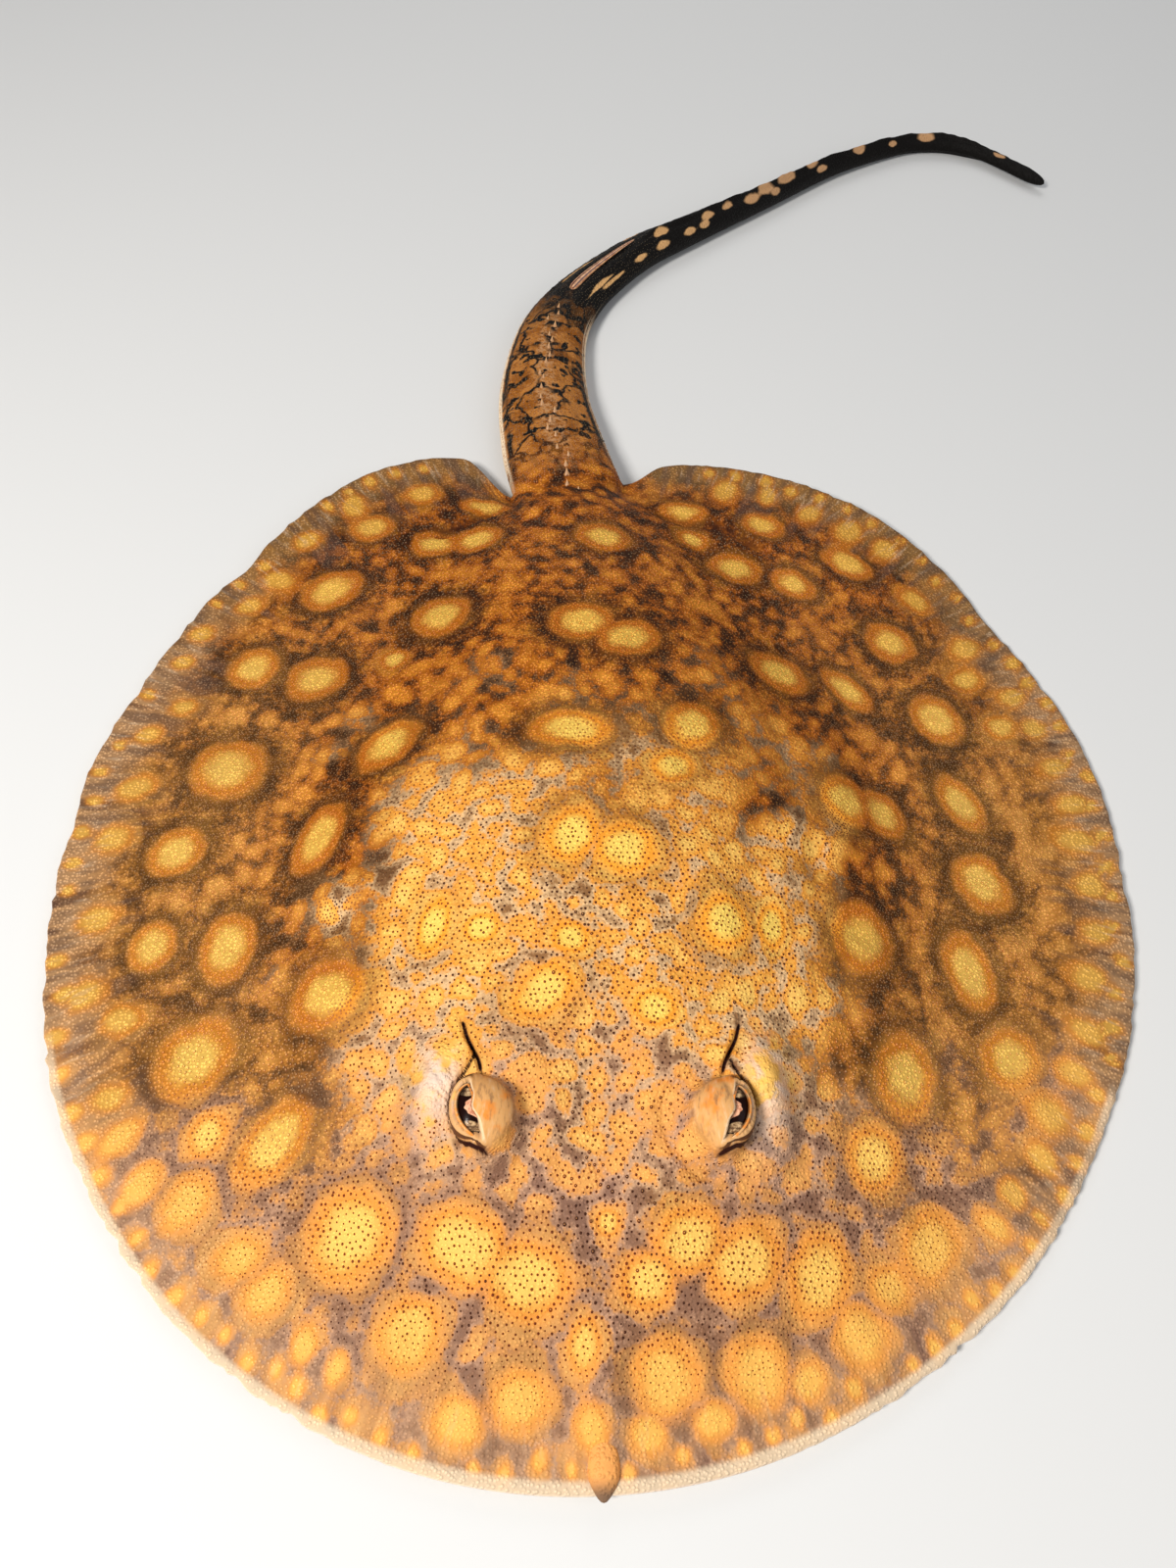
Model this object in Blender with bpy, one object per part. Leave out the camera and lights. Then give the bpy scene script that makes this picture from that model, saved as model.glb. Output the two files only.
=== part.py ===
"""Ocellate river stingray lying flat on its belly, tail swung round to its left, as a still life-size model.

Metres, +Z up. The origin is on the floor under the middle of the disc. The snout points to -Y and the
animal's left side is +X. The disc is modelled whole and parted with thin cuts into head, trunk and fins.
"""

import math

import bmesh
import bpy
import numpy as np
from mathutils import Euler, Matrix, Vector

MM = 0.001

# Driving sizes
SIDE_REACH = 119 * MM  # from the middle of the disc to its side margin
SNOUT_REACH = 10 * MM  # how much further the snout reaches
SPREAD = ((1, 1.1 * MM), (2, -1.7 * MM), (3, -0.6 * MM))  # uneven spread: waves round the disc, sizes
REAR_LOBES = ((147, 7.5 * MM), (-153, 10.2 * MM))  # degrees round from the snout, how far they stand out
LOBE_WIDTH = math.radians(20)
NOTCH_ANGLE = math.radians(-177)  # bay between the rear lobes, where the tail leaves
NOTCH_DEPTH = 18 * MM
NOTCH_WIDTH = math.radians(9)
NICKS = ((-131, 2.0 * MM), (-90, 1.0 * MM), (122, 0.9 * MM))  # old bites in the margin: degrees, depth
EDGE_HALF = 1.1 * MM  # half the thickness of the fin's margin
EDGE_LEVEL = 1.6 * MM  # middle of the margin above the floor
FIN_RISE = 7.5 * MM  # thickening of the fins from the margin to the middle
BACK_RISE = 20.5 * MM  # height of the body above the fins, at the shoulder
SHOULDER_Y = -10 * MM
BODY_HALF = 44 * MM  # half width of the body at half its rise
REAR_SET = 5 * MM  # sideways set of the body's axis at the tail's root
FARTHEST = 240 * MM  # more than any margin's distance from the eyes
TAIL_WIDTH = 31 * MM
TAIL_TIP_WIDTH = 4.6 * MM
TAIL_HEIGHT = 14 * MM
TAIL_TIP_HEIGHT = 4.0 * MM
FOLD_LIFT = 1.5 * MM  # room for the lower tail fold under the tail
GAP = 0.3 * MM  # between neighbouring solids

NECK_Y = -36 * MM
RUMP_Y = 92 * MM
SNOUT_HALF = 22 * MM
CORE_FRONT = 98 * MM
CORE_REAR = 112 * MM
CORE_HALF = 50 * MM
CORE_REAR_HALF = 24 * MM

POLE_Y = -62 * MM  # the disc's grid is finest here, between the eyes
SECTORS = 62
RINGS = 13
RIM_RINGS = 2

EYE = (23.0 * MM, -70.5 * MM, 22.8 * MM)
EYE_RADII = (4.8 * MM, 6.6 * MM, 4.8 * MM)
LID = (21.9 * MM, -70.5 * MM, 20.2 * MM)
LID_RADII = (6.0 * MM, 8.4 * MM, 9.2 * MM)
SLIT_LEAN = math.radians(28)  # the eye looks out and this far up
SLIT_RADII = (5.5 * MM, 5.9 * MM, 2.5 * MM)
VALVE = (28.0 * MM, -60.5 * MM, 19.0 * MM)
VALVE_RADII = (3.6 * MM, 6.2 * MM, 2.6 * MM)

TAIL_ROUTE = [  # middle of the tail on the floor plan, in millimetres
    (-4, 84), (-5.5, 102), (-10, 122), (-13.3, 147), (-11.3, 174), (-4.5, 192), (5.5, 206), (18, 219),
    (34, 232), (59, 252), (87, 275), (112, 290), (125, 293.5), (136, 292.5), (146, 287), (163, 270.5),
]
TAIL_FALL = 131 * MM  # length over which the tail's width falls to a third
BASE_END = 74 * MM  # lengths along the tail where it is parted
MIDDLE_END = 196 * MM
STING_START = 108 * MM
STING_LENGTH = 33 * MM

COLOURS = {
    "back": ((0.50, 0.27, 0.08, 1), 0.45),
    "belly": ((0.80, 0.68, 0.52, 1), 0.5),
    "tail": ((0.10, 0.06, 0.035, 1), 0.45),
    "lid": ((0.58, 0.36, 0.15, 1), 0.4),
    "eye": ((0.05, 0.03, 0.02, 1), 0.1),
    "sting": ((0.62, 0.45, 0.33, 1), 0.5),
}


def clear_scene():
    for old in list(bpy.data.objects):
        bpy.data.objects.remove(old, do_unlink=True)


def collection_named(name, helper=False):
    group = bpy.data.collections.new(name)
    bpy.context.scene.collection.children.link(group)
    group.hide_render = helper
    return group


def material_named(name):
    colour, roughness = COLOURS[name]
    surface = bpy.data.materials.get(name)
    if surface is None:
        surface = bpy.data.materials.new(name)
        surface.use_nodes = True
        shader = surface.node_tree.nodes["Principled BSDF"]
        shader.inputs["Base Color"].default_value = colour
        shader.inputs["Roughness"].default_value = roughness
        shader.inputs["Metallic"].default_value = 0.0
    return surface


def face_outwards(bm):
    bmesh.ops.recalc_face_normals(bm, faces=bm.faces)
    if bm.calc_volume(signed=True) < 0:
        bmesh.ops.reverse_faces(bm, faces=bm.faces)


def add_part(name, bm, finish):
    """One visible sub-part, shaded smooth, from a bmesh that is used up."""
    face_outwards(bm)
    mesh = bpy.data.meshes.new(name)
    bm.to_mesh(mesh)
    bm.free()
    mesh.shade_smooth()
    mesh.materials.append(material_named(finish))
    part = bpy.data.objects.new(name, mesh)
    parts.objects.link(part)
    return part


def add_cutter(name, bm):
    face_outwards(bm)
    mesh = bpy.data.meshes.new(name)
    bm.to_mesh(mesh)
    bm.free()
    cutter = bpy.data.objects.new(name, mesh)
    cutter.hide_render = True
    cutter.display_type = "WIRE"
    cutters.objects.link(cutter)
    return cutter


def carve(part, cutter, operation="DIFFERENCE"):
    step = part.modifiers.new(f"{operation.lower()} {cutter.name}", "BOOLEAN")
    step.operation = operation
    step.solver = "EXACT"
    step.object = cutter


def points_of(bm):
    return np.array([v.co for v in bm.verts])


def set_points(bm, points):
    for vertex, place in zip(bm.verts, points):
        vertex.co = place


def smooth_step(low, high, value):
    t = np.clip((value - low) / (high - low), 0, 1)
    return t * t * (3 - 2 * t)


def body_axis(y):
    """Sideways place of the body's axis: it swings to the animal's right behind the middle, as the square."""
    return -REAR_SET * (np.maximum(y, 0) / (100 * MM)) ** 2


def angle_from(turn, direction):
    """How far apart two directions lie, 0 to pi."""
    return np.abs(np.arctan2(np.sin(turn - direction), np.cos(turn - direction)))


# ---------------------------------------------------------------- disc

def reach(turn):
    """Distance from the middle of the disc to its margin, in a direction turned from the snout."""
    edge = SIDE_REACH + SNOUT_REACH * np.maximum(np.cos(turn), 0) ** 1.7
    for waves, size in SPREAD:
        edge = edge + size * np.sin(waves * turn)
    for degrees, size in REAR_LOBES:
        edge += size * np.exp(-(angle_from(turn, math.radians(degrees)) / LOBE_WIDTH) ** 2)
    for degrees, depth in NICKS:
        edge -= depth * np.exp(-(angle_from(turn, math.radians(degrees)) / math.radians(4)) ** 2)
    edge -= NOTCH_DEPTH * np.exp(-(angle_from(turn, NOTCH_ANGLE) / NOTCH_WIDTH) ** 2)
    scallops = 0.4 * MM * np.sin(11 * turn + 0.8)
    return edge + scallops * smooth_step(0.5, 1.2, angle_from(turn, 0))


def margin_level(turn):
    """Height of the middle of the fin's margin: the snout curls up a little and the rear lobes more."""
    away = angle_from(turn, 0)
    front = 0.9 * MM * np.exp(-(away / 0.7) ** 2)
    rear = 2.4 * MM * smooth_step(2.1, 2.75, away)
    ripple = 0.4 * MM * np.sin(5 * turn + 1) * smooth_step(0.6, 1.2, away)
    return EDGE_LEVEL + front + rear + ripple


def fin_share(x, y):
    """0 at the middle of the disc, 1 at its margin, and the direction there."""
    turn = np.arctan2(x, -y)
    return np.clip(np.hypot(x, y) / (reach(turn) - EDGE_HALF), 0, 1), turn


def body_rise(x, y):
    """The body over the fins: a long hump, highest at the shoulder, with steep round sides."""
    ahead = np.clip((SHOULDER_Y - y) / (112 * MM), 0, 1)
    behind = np.clip((y - SHOULDER_Y) / (110 * MM), 0, 1.15)
    height = BACK_RISE * (1 - ahead ** 2.2) - 12.5 * MM * behind ** 1.7
    half = BODY_HALF - 5 * MM * ahead ** 2 - 30 * MM * behind ** 1.6
    hump = height * np.exp(-math.log(2) * (np.abs(x - body_axis(y)) / half) ** 2.8)
    gills = 2.2 * MM * np.exp(-((np.abs(x) - 54 * MM) / (12 * MM)) ** 2 - ((y + 22 * MM) / (34 * MM)) ** 2)
    brow = 2.2 * MM * np.exp(-((np.abs(x) - 22 * MM) / (9 * MM)) ** 2 - ((y + 68 * MM) / (14 * MM)) ** 2)
    beside_eye = np.hypot((np.abs(x) - 31.5 * MM) / (4.6 * MM), (y + 68 * MM) / (9.5 * MM))
    cheek = 3.3 * MM * np.exp(-(beside_eye / 0.95) ** 2)
    return hump + gills + brow + cheek


def back_height(x, y):
    share, turn = fin_share(x, y)
    rim = EDGE_HALF + EDGE_LEVEL + (margin_level(turn) - EDGE_LEVEL) * smooth_step(0.5, 1, share)
    return rim + FIN_RISE * (1 - share ** 1.35) + body_rise(x, y)


def belly_height(x, y):
    share, turn = fin_share(x, y)
    return (margin_level(turn) - EDGE_HALF) * smooth_step(0.82, 1, share)


def margin_distance(turn):
    """Distance to the margin from the pole between the eyes, found by halving."""
    near = np.zeros_like(turn)
    far = np.full_like(turn, FARTHEST)
    for _ in range(40):
        middle = (near + far) / 2
        x = middle * np.sin(turn)
        y = POLE_Y - middle * np.cos(turn)
        inside = np.hypot(x, y) < reach(np.arctan2(x, -y))
        near = np.where(inside, middle, near)
        far = np.where(inside, far, middle)
    return near


def whole_disc():
    """The disc from a UV sphere: upper half the back, lower half the belly, equator the rim."""
    bm = bmesh.new()
    bmesh.ops.create_uvsphere(bm, u_segments=SECTORS, v_segments=2 * RINGS, radius=1)
    ball_points = points_of(bm)
    round_turn = np.arctan2(ball_points[:, 0], -ball_points[:, 1])
    turn = round_turn + 0.55 * np.sin(round_turn)  # crowds the sectors at the far rear margin
    level = np.arccos(np.clip(ball_points[:, 2], -1, 1)) / (math.pi / 2)
    above = level < 1.0001
    level = np.where(above, level, 2 - level)
    rim_start = 1 - RIM_RINGS / RINGS
    inner = np.clip(level / rim_start, 0, 1)
    rim = np.clip((level - rim_start) / (1 - rim_start), 0, 1) * math.pi / 2
    distance = margin_distance(turn)
    radius = (distance - EDGE_HALF) * inner + EDGE_HALF * np.sin(rim) * (inner > 0.9999)
    x = radius * np.sin(turn)
    y = POLE_Y - radius * np.cos(turn)
    middle = margin_level(np.arctan2(x, -y))
    on_rim = rim > 0.001
    back = np.where(on_rim, middle + EDGE_HALF * np.cos(rim), back_height(x, y))
    belly = np.where(on_rim, middle - EDGE_HALF * np.cos(rim), belly_height(x, y))
    set_points(bm, np.column_stack([x, y, np.where(above, back, belly)]))
    flat = [e for e in bm.edges if all(v.co.z < 1e-7 for v in e.verts)]
    bmesh.ops.dissolve_limit(bm, angle_limit=0.001, verts=[], edges=flat)
    return bm


def keep_side(bm, point, normal):
    """Cuts the shape at a plane, drops what lies beyond it and closes the cut."""
    cut = bmesh.ops.bisect_plane(
        bm, geom=bm.verts[:] + bm.edges[:] + bm.faces[:], dist=1e-7,
        plane_co=point, plane_no=normal, clear_outer=True,
    )
    rim = [e for e in cut["geom_cut"] if isinstance(e, bmesh.types.BMEdge)]
    bmesh.ops.holes_fill(bm, edges=rim, sides=0)
    return bm


def prism(outline, bottom, top):
    """An upright prism over an outline of (x, y) points, from a cylinder with as many sides."""
    bm = bmesh.new()
    bmesh.ops.create_cone(bm, segments=len(outline), radius1=1, radius2=1, depth=2, cap_ends=True)
    corners = points_of(bm)
    index = np.round(np.arctan2(corners[:, 1], corners[:, 0]) / (2 * math.pi) * len(outline)).astype(int)
    places = np.array(outline)[index % len(outline)]
    set_points(bm, np.column_stack([places, np.where(corners[:, 2] > 0, top, bottom)]))
    return bm


def core_outline(grow):
    """Plan of the head and trunk: an egg, wide at the gills and as narrow as the tail behind."""
    turn = np.arange(48) / 48 * 2 * math.pi
    y = -np.cos(turn) * np.where(np.cos(turn) > 0, CORE_FRONT + grow, CORE_REAR + grow)
    half = CORE_HALF - (CORE_HALF - CORE_REAR_HALF) * smooth_step(0, 100 * MM, y) + grow
    x = half * np.sign(np.sin(turn)) * np.abs(np.sin(turn)) ** 0.8
    return np.column_stack([x + body_axis(y), y])


def box_outline(x0, x1, y0, y1):
    return [(x1, y0), (x1, y1), (x0, y1), (x0, y0)]


def ellipse_outline(centre, radii, sides=20):
    turn = np.arange(sides) / sides * 2 * math.pi
    return np.column_stack([centre[0] + radii[0] * np.cos(turn), centre[1] + radii[1] * np.sin(turn)])


def ball(centre, radii, grow=0.0, sectors=20, rings=12, turn=None):
    """An ellipsoid; turn is the Euler rotation about its centre."""
    bm = bmesh.new()
    bmesh.ops.create_uvsphere(bm, u_segments=sectors, v_segments=rings, radius=1)
    size = Matrix.Diagonal([r + grow for r in radii]).to_4x4()
    spin = Euler(turn or (0, 0, 0)).to_matrix().to_4x4()
    bm.transform(Matrix.Translation(centre) @ spin @ size)
    return bm


def mirrored(place, side):
    return (side * place[0], place[1], place[2])


# ---------------------------------------------------------------- head, trunk and fins

def build_disc_parts():
    half = GAP / 2
    core = add_cutter("core_keep", prism(core_outline(-half), -20 * MM, 60 * MM))
    around_core = add_cutter("core_cut", prism(core_outline(half), -20 * MM, 60 * MM))
    snout_box = box_outline(-SNOUT_HALF - half, SNOUT_HALF + half, -200 * MM, -60 * MM)
    around_snout = add_cutter("snout_cut", prism(snout_box, -20 * MM, 60 * MM))
    root = TAIL_WIDTH / 2 + GAP
    root_box = [(root - 10 * MM, 125 * MM), (-root - 11 * MM, 125 * MM),
                (-root - 5 * MM, RUMP_Y - half), (root - 4 * MM, RUMP_Y - half)]
    around_tail = add_cutter("tail_root_cut", prism(root_box, -20 * MM, 60 * MM))

    head_mesh = keep_side(whole_disc(), (0, NECK_Y - half, 0), (0, 1, 0))
    head = add_part("head", head_mesh, "back")
    carve(head, core, "INTERSECT")
    trunk_mesh = keep_side(whole_disc(), (0, NECK_Y + half, 0), (0, -1, 0))
    trunk = add_part("trunk", keep_side(trunk_mesh, (0, RUMP_Y - half, 0), (0, 1, 0)), "back")
    carve(trunk, core, "INTERSECT")

    snout_mesh = keep_side(whole_disc(), (0, -60 * MM, 0), (0, 1, 0))
    for side in (1, -1):
        keep_side(snout_mesh, (side * (SNOUT_HALF - half), 0, 0), (side, 0, 0))
    snout = add_part("snout", snout_mesh, "back")
    carve(snout, around_core)

    fins = {}
    for name, side in (("left", 1), ("right", -1)):
        fin_mesh = keep_side(whole_disc(), (body_axis(110 * MM) + side * 8 * MM, 0, 0), (-side, 0, 0))
        fin = add_part(f"pectoral_fin_{name}", fin_mesh, "back")
        for cutter in (around_tail, around_core, around_snout):
            carve(fin, cutter)
        fins[side] = fin
    return head, trunk, snout, fins


def pelvic_mesh(side, grow):
    """A round paddle, flat below, that lies under the rear lobe beside the tail."""
    centre = (side * 24.5 * MM - 5 * MM, 97 * MM, 0)
    bm = ball(centre, (12.5 * MM, 15 * MM, 2.0 * MM), grow, sectors=20, rings=8,
              turn=(0, 0, side * math.radians(-18)))
    points = points_of(bm)
    below = -20 * MM if grow else 0.0
    points[:, 2] = np.where(points[:, 2] < -0.01 * MM, below, np.maximum(points[:, 2], 0))
    set_points(bm, points)
    if not grow:
        flat = [e for e in bm.edges if all(v.co.z < 1e-7 for v in e.verts)]
        bmesh.ops.dissolve_limit(bm, angle_limit=0.001, verts=[], edges=flat)
    return bm


def build_pelvic_fins(trunk, fins):
    for name, side in (("left", 1), ("right", -1)):
        add_part(f"pelvic_fin_{name}", pelvic_mesh(side, 0.0), "back")
        room = add_cutter(f"pelvic_room_{name}", pelvic_mesh(side, GAP))
        carve(fins[side], room)
        carve(trunk, room)


# ---------------------------------------------------------------- face

def build_eyes(head):
    for name, side in (("left", 1), ("right", -1)):
        lean = (0, -side * SLIT_LEAN, 0)
        lid = add_part(f"eyelid_{name}", ball(mirrored(LID, side), LID_RADII, 0.0, 16, 12), "lid")
        lid_room = add_cutter(f"lid_room_{name}", ball(mirrored(LID, side), LID_RADII, GAP, 16, 12))
        socket = add_cutter(f"socket_{name}", ball(mirrored(EYE, side), EYE_RADII, GAP, 14, 10))
        add_part(f"eye_{name}", ball(mirrored(EYE, side), EYE_RADII, 0.0, 14, 10), "eye")
        outward = Vector((side * math.cos(SLIT_LEAN), 0, math.sin(SLIT_LEAN)))
        slit_place = Vector(mirrored(EYE, side)) + outward * EYE_RADII[0]
        slit = add_cutter(f"lid_slit_{name}", ball(slit_place, SLIT_RADII, 0.0, 14, 8, lean))
        carve(lid, socket)
        carve(lid, slit)
        carve(head, lid_room)
        carve(head, slit)

        tilt = (0, side * math.radians(24), side * math.radians(8))
        valve = ball(mirrored(VALVE, side), VALVE_RADII, 0.0, 14, 8, tilt)
        flap = add_part(f"spiracle_flap_{name}", valve, "lid")
        carve(flap, lid_room)
        around_valve = ball(mirrored(VALVE, side), VALVE_RADII, GAP, 14, 8, tilt)
        carve(head, add_cutter(f"spiracle_{name}", around_valve))


def build_mouth(head):
    """The mouth's shallow bay under the head, with the nasal curtain and the lower jaw lying in it."""
    bay = prism(ellipse_outline((0, -88 * MM), (13 * MM, 7 * MM)), -5 * MM, 1.6 * MM)
    carve(head, add_cutter("mouth_bay", bay))
    curtain = prism(ellipse_outline((0, -91 * MM), (10 * MM, 3.4 * MM)), 0.25 * MM, 1.25 * MM)
    add_part("nasal_curtain", curtain, "belly")
    jaw = prism(ellipse_outline((0, -84.8 * MM), (8.5 * MM, 2.2 * MM)), 0.25 * MM, 1.25 * MM)
    add_part("lower_jaw", jaw, "belly")


def build_gill_slits(head):
    """Five short slits on each side of the belly behind the mouth, closing in towards the tail."""
    for side in (1, -1):
        for k in range(5):
            middle = (side * (29 - 1.6 * k) * MM, (-72 + 7.2 * k) * MM, 0)
            bm = bmesh.new()
            bmesh.ops.create_cube(bm, size=1)
            spin = Matrix.Rotation(side * math.radians(12 + 4 * k), 4, "Z")
            size = Matrix.Diagonal((5.5 * MM, 0.9 * MM, 2.0 * MM)).to_4x4()
            bm.transform(Matrix.Translation(middle) @ spin @ size)
            carve(head, add_cutter(f"gill_slit_{'left' if side > 0 else 'right'}_{k + 1}", bm))


def build_snout_tip(snout):
    centre, radii = (0.4 * MM, -124.6 * MM, 3.6 * MM), (2.5 * MM, 6.2 * MM, 2.1 * MM)
    add_part("snout_tip", ball(centre, radii, 0.0, 12, 10), "lid")
    carve(snout, add_cutter("snout_tip_room", ball(centre, radii, GAP, 12, 10)))


# ---------------------------------------------------------------- tail

def catmull_rom(points, steps):
    """A smooth curve through the points, leaving each along the line between its neighbours."""
    p = np.vstack([2 * points[0] - points[1], points, 2 * points[-1] - points[-2]])
    t = np.linspace(0, 1, steps, endpoint=False)[:, None]
    runs = []
    for a, b, c, d in zip(p[:-3], p[1:-2], p[2:-1], p[3:]):
        runs.append(0.5 * (2 * b + (c - a) * t + (2 * a - 5 * b + 4 * c - d) * t ** 2
                           + (3 * b - a - 3 * c + d) * t ** 3))
    return np.vstack(runs + [points[-1:]])


def tail_frame(length_along):
    """Place and direction on the floor plan at a length along the tail; past its ends it runs straight."""
    curve = catmull_rom(np.array(TAIL_ROUTE) * MM, 24)
    steps = np.linalg.norm(np.diff(curve, axis=0), axis=1)
    along = np.concatenate([[0], np.cumsum(steps)])
    place = np.column_stack([np.interp(length_along, along, curve[:, k]) for k in (0, 1)])
    step = 1.5 * MM
    ahead = np.column_stack([np.interp(length_along + step, along, curve[:, k]) for k in (0, 1)])
    back = np.column_stack([np.interp(length_along - step, along, curve[:, k]) for k in (0, 1)])
    direction = ahead - back
    return place, direction / np.linalg.norm(direction, axis=1)[:, None], along[-1]


def tail_size(length_along, total):
    left = np.clip(1 - length_along / total, 0, 1)
    fall = np.exp(-(np.maximum(length_along, 0) / TAIL_FALL) ** 1.75)
    width = TAIL_TIP_WIDTH + (TAIL_WIDTH - TAIL_TIP_WIDTH) * fall
    height = TAIL_TIP_HEIGHT + (TAIL_HEIGHT - TAIL_TIP_HEIGHT) * left ** 1.3
    lift = FOLD_LIFT * smooth_step(110 * MM, 150 * MM, length_along)
    return width, height, lift


def whole_tail():
    """The tail from a UV sphere whose rings are sections along the route, flat underneath."""
    bm = bmesh.new()
    bmesh.ops.create_uvsphere(bm, u_segments=12, v_segments=40, radius=1)
    ball_points = points_of(bm)
    t = np.arccos(np.clip(ball_points[:, 2], -1, 1)) / math.pi
    total = tail_frame(np.zeros(1))[2]
    along = total * (1 - (1 - t) ** 1.25)
    place, direction, _ = tail_frame(along)
    width, height, lift = tail_size(along, total)
    cap = np.sqrt(np.clip(1 - np.abs(2 * t - 1) ** 40, 0, 1))
    around = np.arctan2(ball_points[:, 1], ball_points[:, 0])
    sideways = width / 2 * cap * np.cos(around)
    upper = 0.62 * height * np.sin(around)
    lower = -0.46 * height * np.abs(np.sin(around)) ** 0.7
    rise = 0.38 * height + cap * np.where(np.sin(around) > 0, upper, lower)
    x = place[:, 0] + direction[:, 1] * sideways
    y = place[:, 1] - direction[:, 0] * sideways
    set_points(bm, np.column_stack([x, y, lift + np.maximum(rise, 0)]))
    bmesh.ops.dissolve_degenerate(bm, edges=bm.edges, dist=1e-6)
    return bm


def tail_cut(bm, length_along, keep_beyond):
    place, direction, _ = tail_frame(np.array([length_along]))
    side = -1 if keep_beyond else 1
    point = Vector((*place[0], 0)) - side * Vector((*direction[0], 0)) * GAP / 2
    return keep_side(bm, point, (side * direction[0][0], side * direction[0][1], 0))


def thorn_cutter():
    """A row of small thorns along the midline of the tail's base, to be joined to it."""
    bm = bmesh.new()
    total = tail_frame(np.zeros(1))[2]
    for k in range(11):
        along = (16 + 5.2 * k) * MM
        place, direction, _ = tail_frame(np.array([along]))
        height = tail_size(along, total)[1]
        aside = 0.7 * MM * math.sin(2.6 * k)
        middle = (place[0][0] + direction[0][1] * aside, place[0][1] - direction[0][0] * aside,
                  height + 0.15 * MM)
        bmesh.ops.create_cone(bm, segments=6, radius1=1.15 * MM, radius2=0.15 * MM, depth=1.7 * MM,
                              cap_ends=True, matrix=Matrix.Translation(middle))
    return bm


def ribbon(start, end, level, height, half_thick):
    """A low keel that follows the tail between two lengths along it and fades at both ends."""
    bm = bmesh.new()
    bmesh.ops.create_uvsphere(bm, u_segments=6, v_segments=20, radius=1)
    ball_points = points_of(bm)
    t = np.arccos(np.clip(ball_points[:, 2], -1, 1)) / math.pi
    along = start + (end - start) * t
    place, direction, total = tail_frame(along)
    cap = np.sqrt(np.clip(1 - np.abs(2 * t - 1) ** 6, 0, 1))
    around = np.arctan2(ball_points[:, 1], ball_points[:, 0])
    sideways = half_thick * np.cos(around) * cap
    x = place[:, 0] + direction[:, 1] * sideways
    y = place[:, 1] - direction[:, 0] * sideways
    z = level(along, total) + height * 0.5 * (1 + np.sin(around)) * cap
    set_points(bm, np.column_stack([x, y, z]))
    bmesh.ops.dissolve_degenerate(bm, edges=bm.edges, dist=1e-6)
    return bm


def build_tail():
    base_mesh = tail_cut(keep_side(whole_tail(), (0, RUMP_Y + GAP / 2, 0), (0, -1, 0)), BASE_END, False)
    base = add_part("tail_base", base_mesh, "back")
    carve(base, add_cutter("tail_thorns", thorn_cutter()), "UNION")
    middle = tail_cut(tail_cut(whole_tail(), BASE_END, True), MIDDLE_END, False)
    add_part("tail_middle", middle, "tail")
    add_part("tail_end", tail_cut(whole_tail(), MIDDLE_END, True), "tail")

    def on_top(along, total):
        _, height, lift = tail_size(along, total)
        return height + lift + 0.25 * MM

    upper = ribbon(142 * MM, 296 * MM, on_top, 1.3 * MM, 0.6 * MM)
    add_part("tail_fold_upper", upper, "tail")
    lower = ribbon(148 * MM, 300 * MM, lambda along, total: np.zeros_like(along), 1.2 * MM, 0.7 * MM)
    add_part("tail_fold_lower", lower, "tail")


def build_sting():
    """A flat blade along the top of the tail, its root lying just over the skin and its tip free."""
    bm = bmesh.new()
    bmesh.ops.create_uvsphere(bm, u_segments=6, v_segments=12, radius=1)
    ball_points = points_of(bm)
    t = np.arccos(np.clip(ball_points[:, 2], -1, 1)) / math.pi
    along = STING_START + STING_LENGTH * t
    place, direction, total = tail_frame(along)
    _, height, lift = tail_size(along, total)
    taper = np.sqrt(np.clip(1 - np.abs(2 * t - 1) ** 10, 0, 1)) * (1 - 0.72 * t)
    around = np.arctan2(ball_points[:, 1], ball_points[:, 0])
    sideways = 1.7 * MM * taper * np.cos(around)
    x = place[:, 0] + direction[:, 1] * sideways
    y = place[:, 1] - direction[:, 0] * sideways
    z = height + lift + (1.0 + 1.6 * t) * MM + 0.62 * MM * taper * np.sin(around)
    set_points(bm, np.column_stack([x, y, z]))
    bmesh.ops.dissolve_degenerate(bm, edges=bm.edges, dist=1e-6)
    add_part("tail_sting", bm, "sting")


clear_scene()
parts = collection_named("river_stingray")
cutters = collection_named("cutters", helper=True)
head_part, trunk_part, snout_part, fin_parts = build_disc_parts()
build_pelvic_fins(trunk_part, fin_parts)
build_eyes(head_part)
build_mouth(head_part)
build_gill_slits(head_part)
build_snout_tip(snout_part)
build_tail()
build_sting()
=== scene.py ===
import math

import bmesh
import bpy
import numpy as np
from mathutils import Matrix, Vector


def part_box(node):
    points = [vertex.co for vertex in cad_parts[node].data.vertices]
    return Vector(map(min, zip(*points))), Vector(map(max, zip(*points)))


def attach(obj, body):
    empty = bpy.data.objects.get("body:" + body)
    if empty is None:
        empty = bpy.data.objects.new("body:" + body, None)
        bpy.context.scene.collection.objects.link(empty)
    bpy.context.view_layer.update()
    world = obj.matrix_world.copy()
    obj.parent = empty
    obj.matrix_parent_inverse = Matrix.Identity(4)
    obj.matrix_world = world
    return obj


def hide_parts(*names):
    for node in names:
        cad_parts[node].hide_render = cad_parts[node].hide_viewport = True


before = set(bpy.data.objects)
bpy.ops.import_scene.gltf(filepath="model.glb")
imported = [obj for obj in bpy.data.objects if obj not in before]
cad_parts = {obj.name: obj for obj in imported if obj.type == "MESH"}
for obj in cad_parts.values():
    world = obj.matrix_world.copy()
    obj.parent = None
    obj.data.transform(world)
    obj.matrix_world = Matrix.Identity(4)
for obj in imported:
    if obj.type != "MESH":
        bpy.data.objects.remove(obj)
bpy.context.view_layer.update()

mm = 0.001
print("frame loaded")


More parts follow.
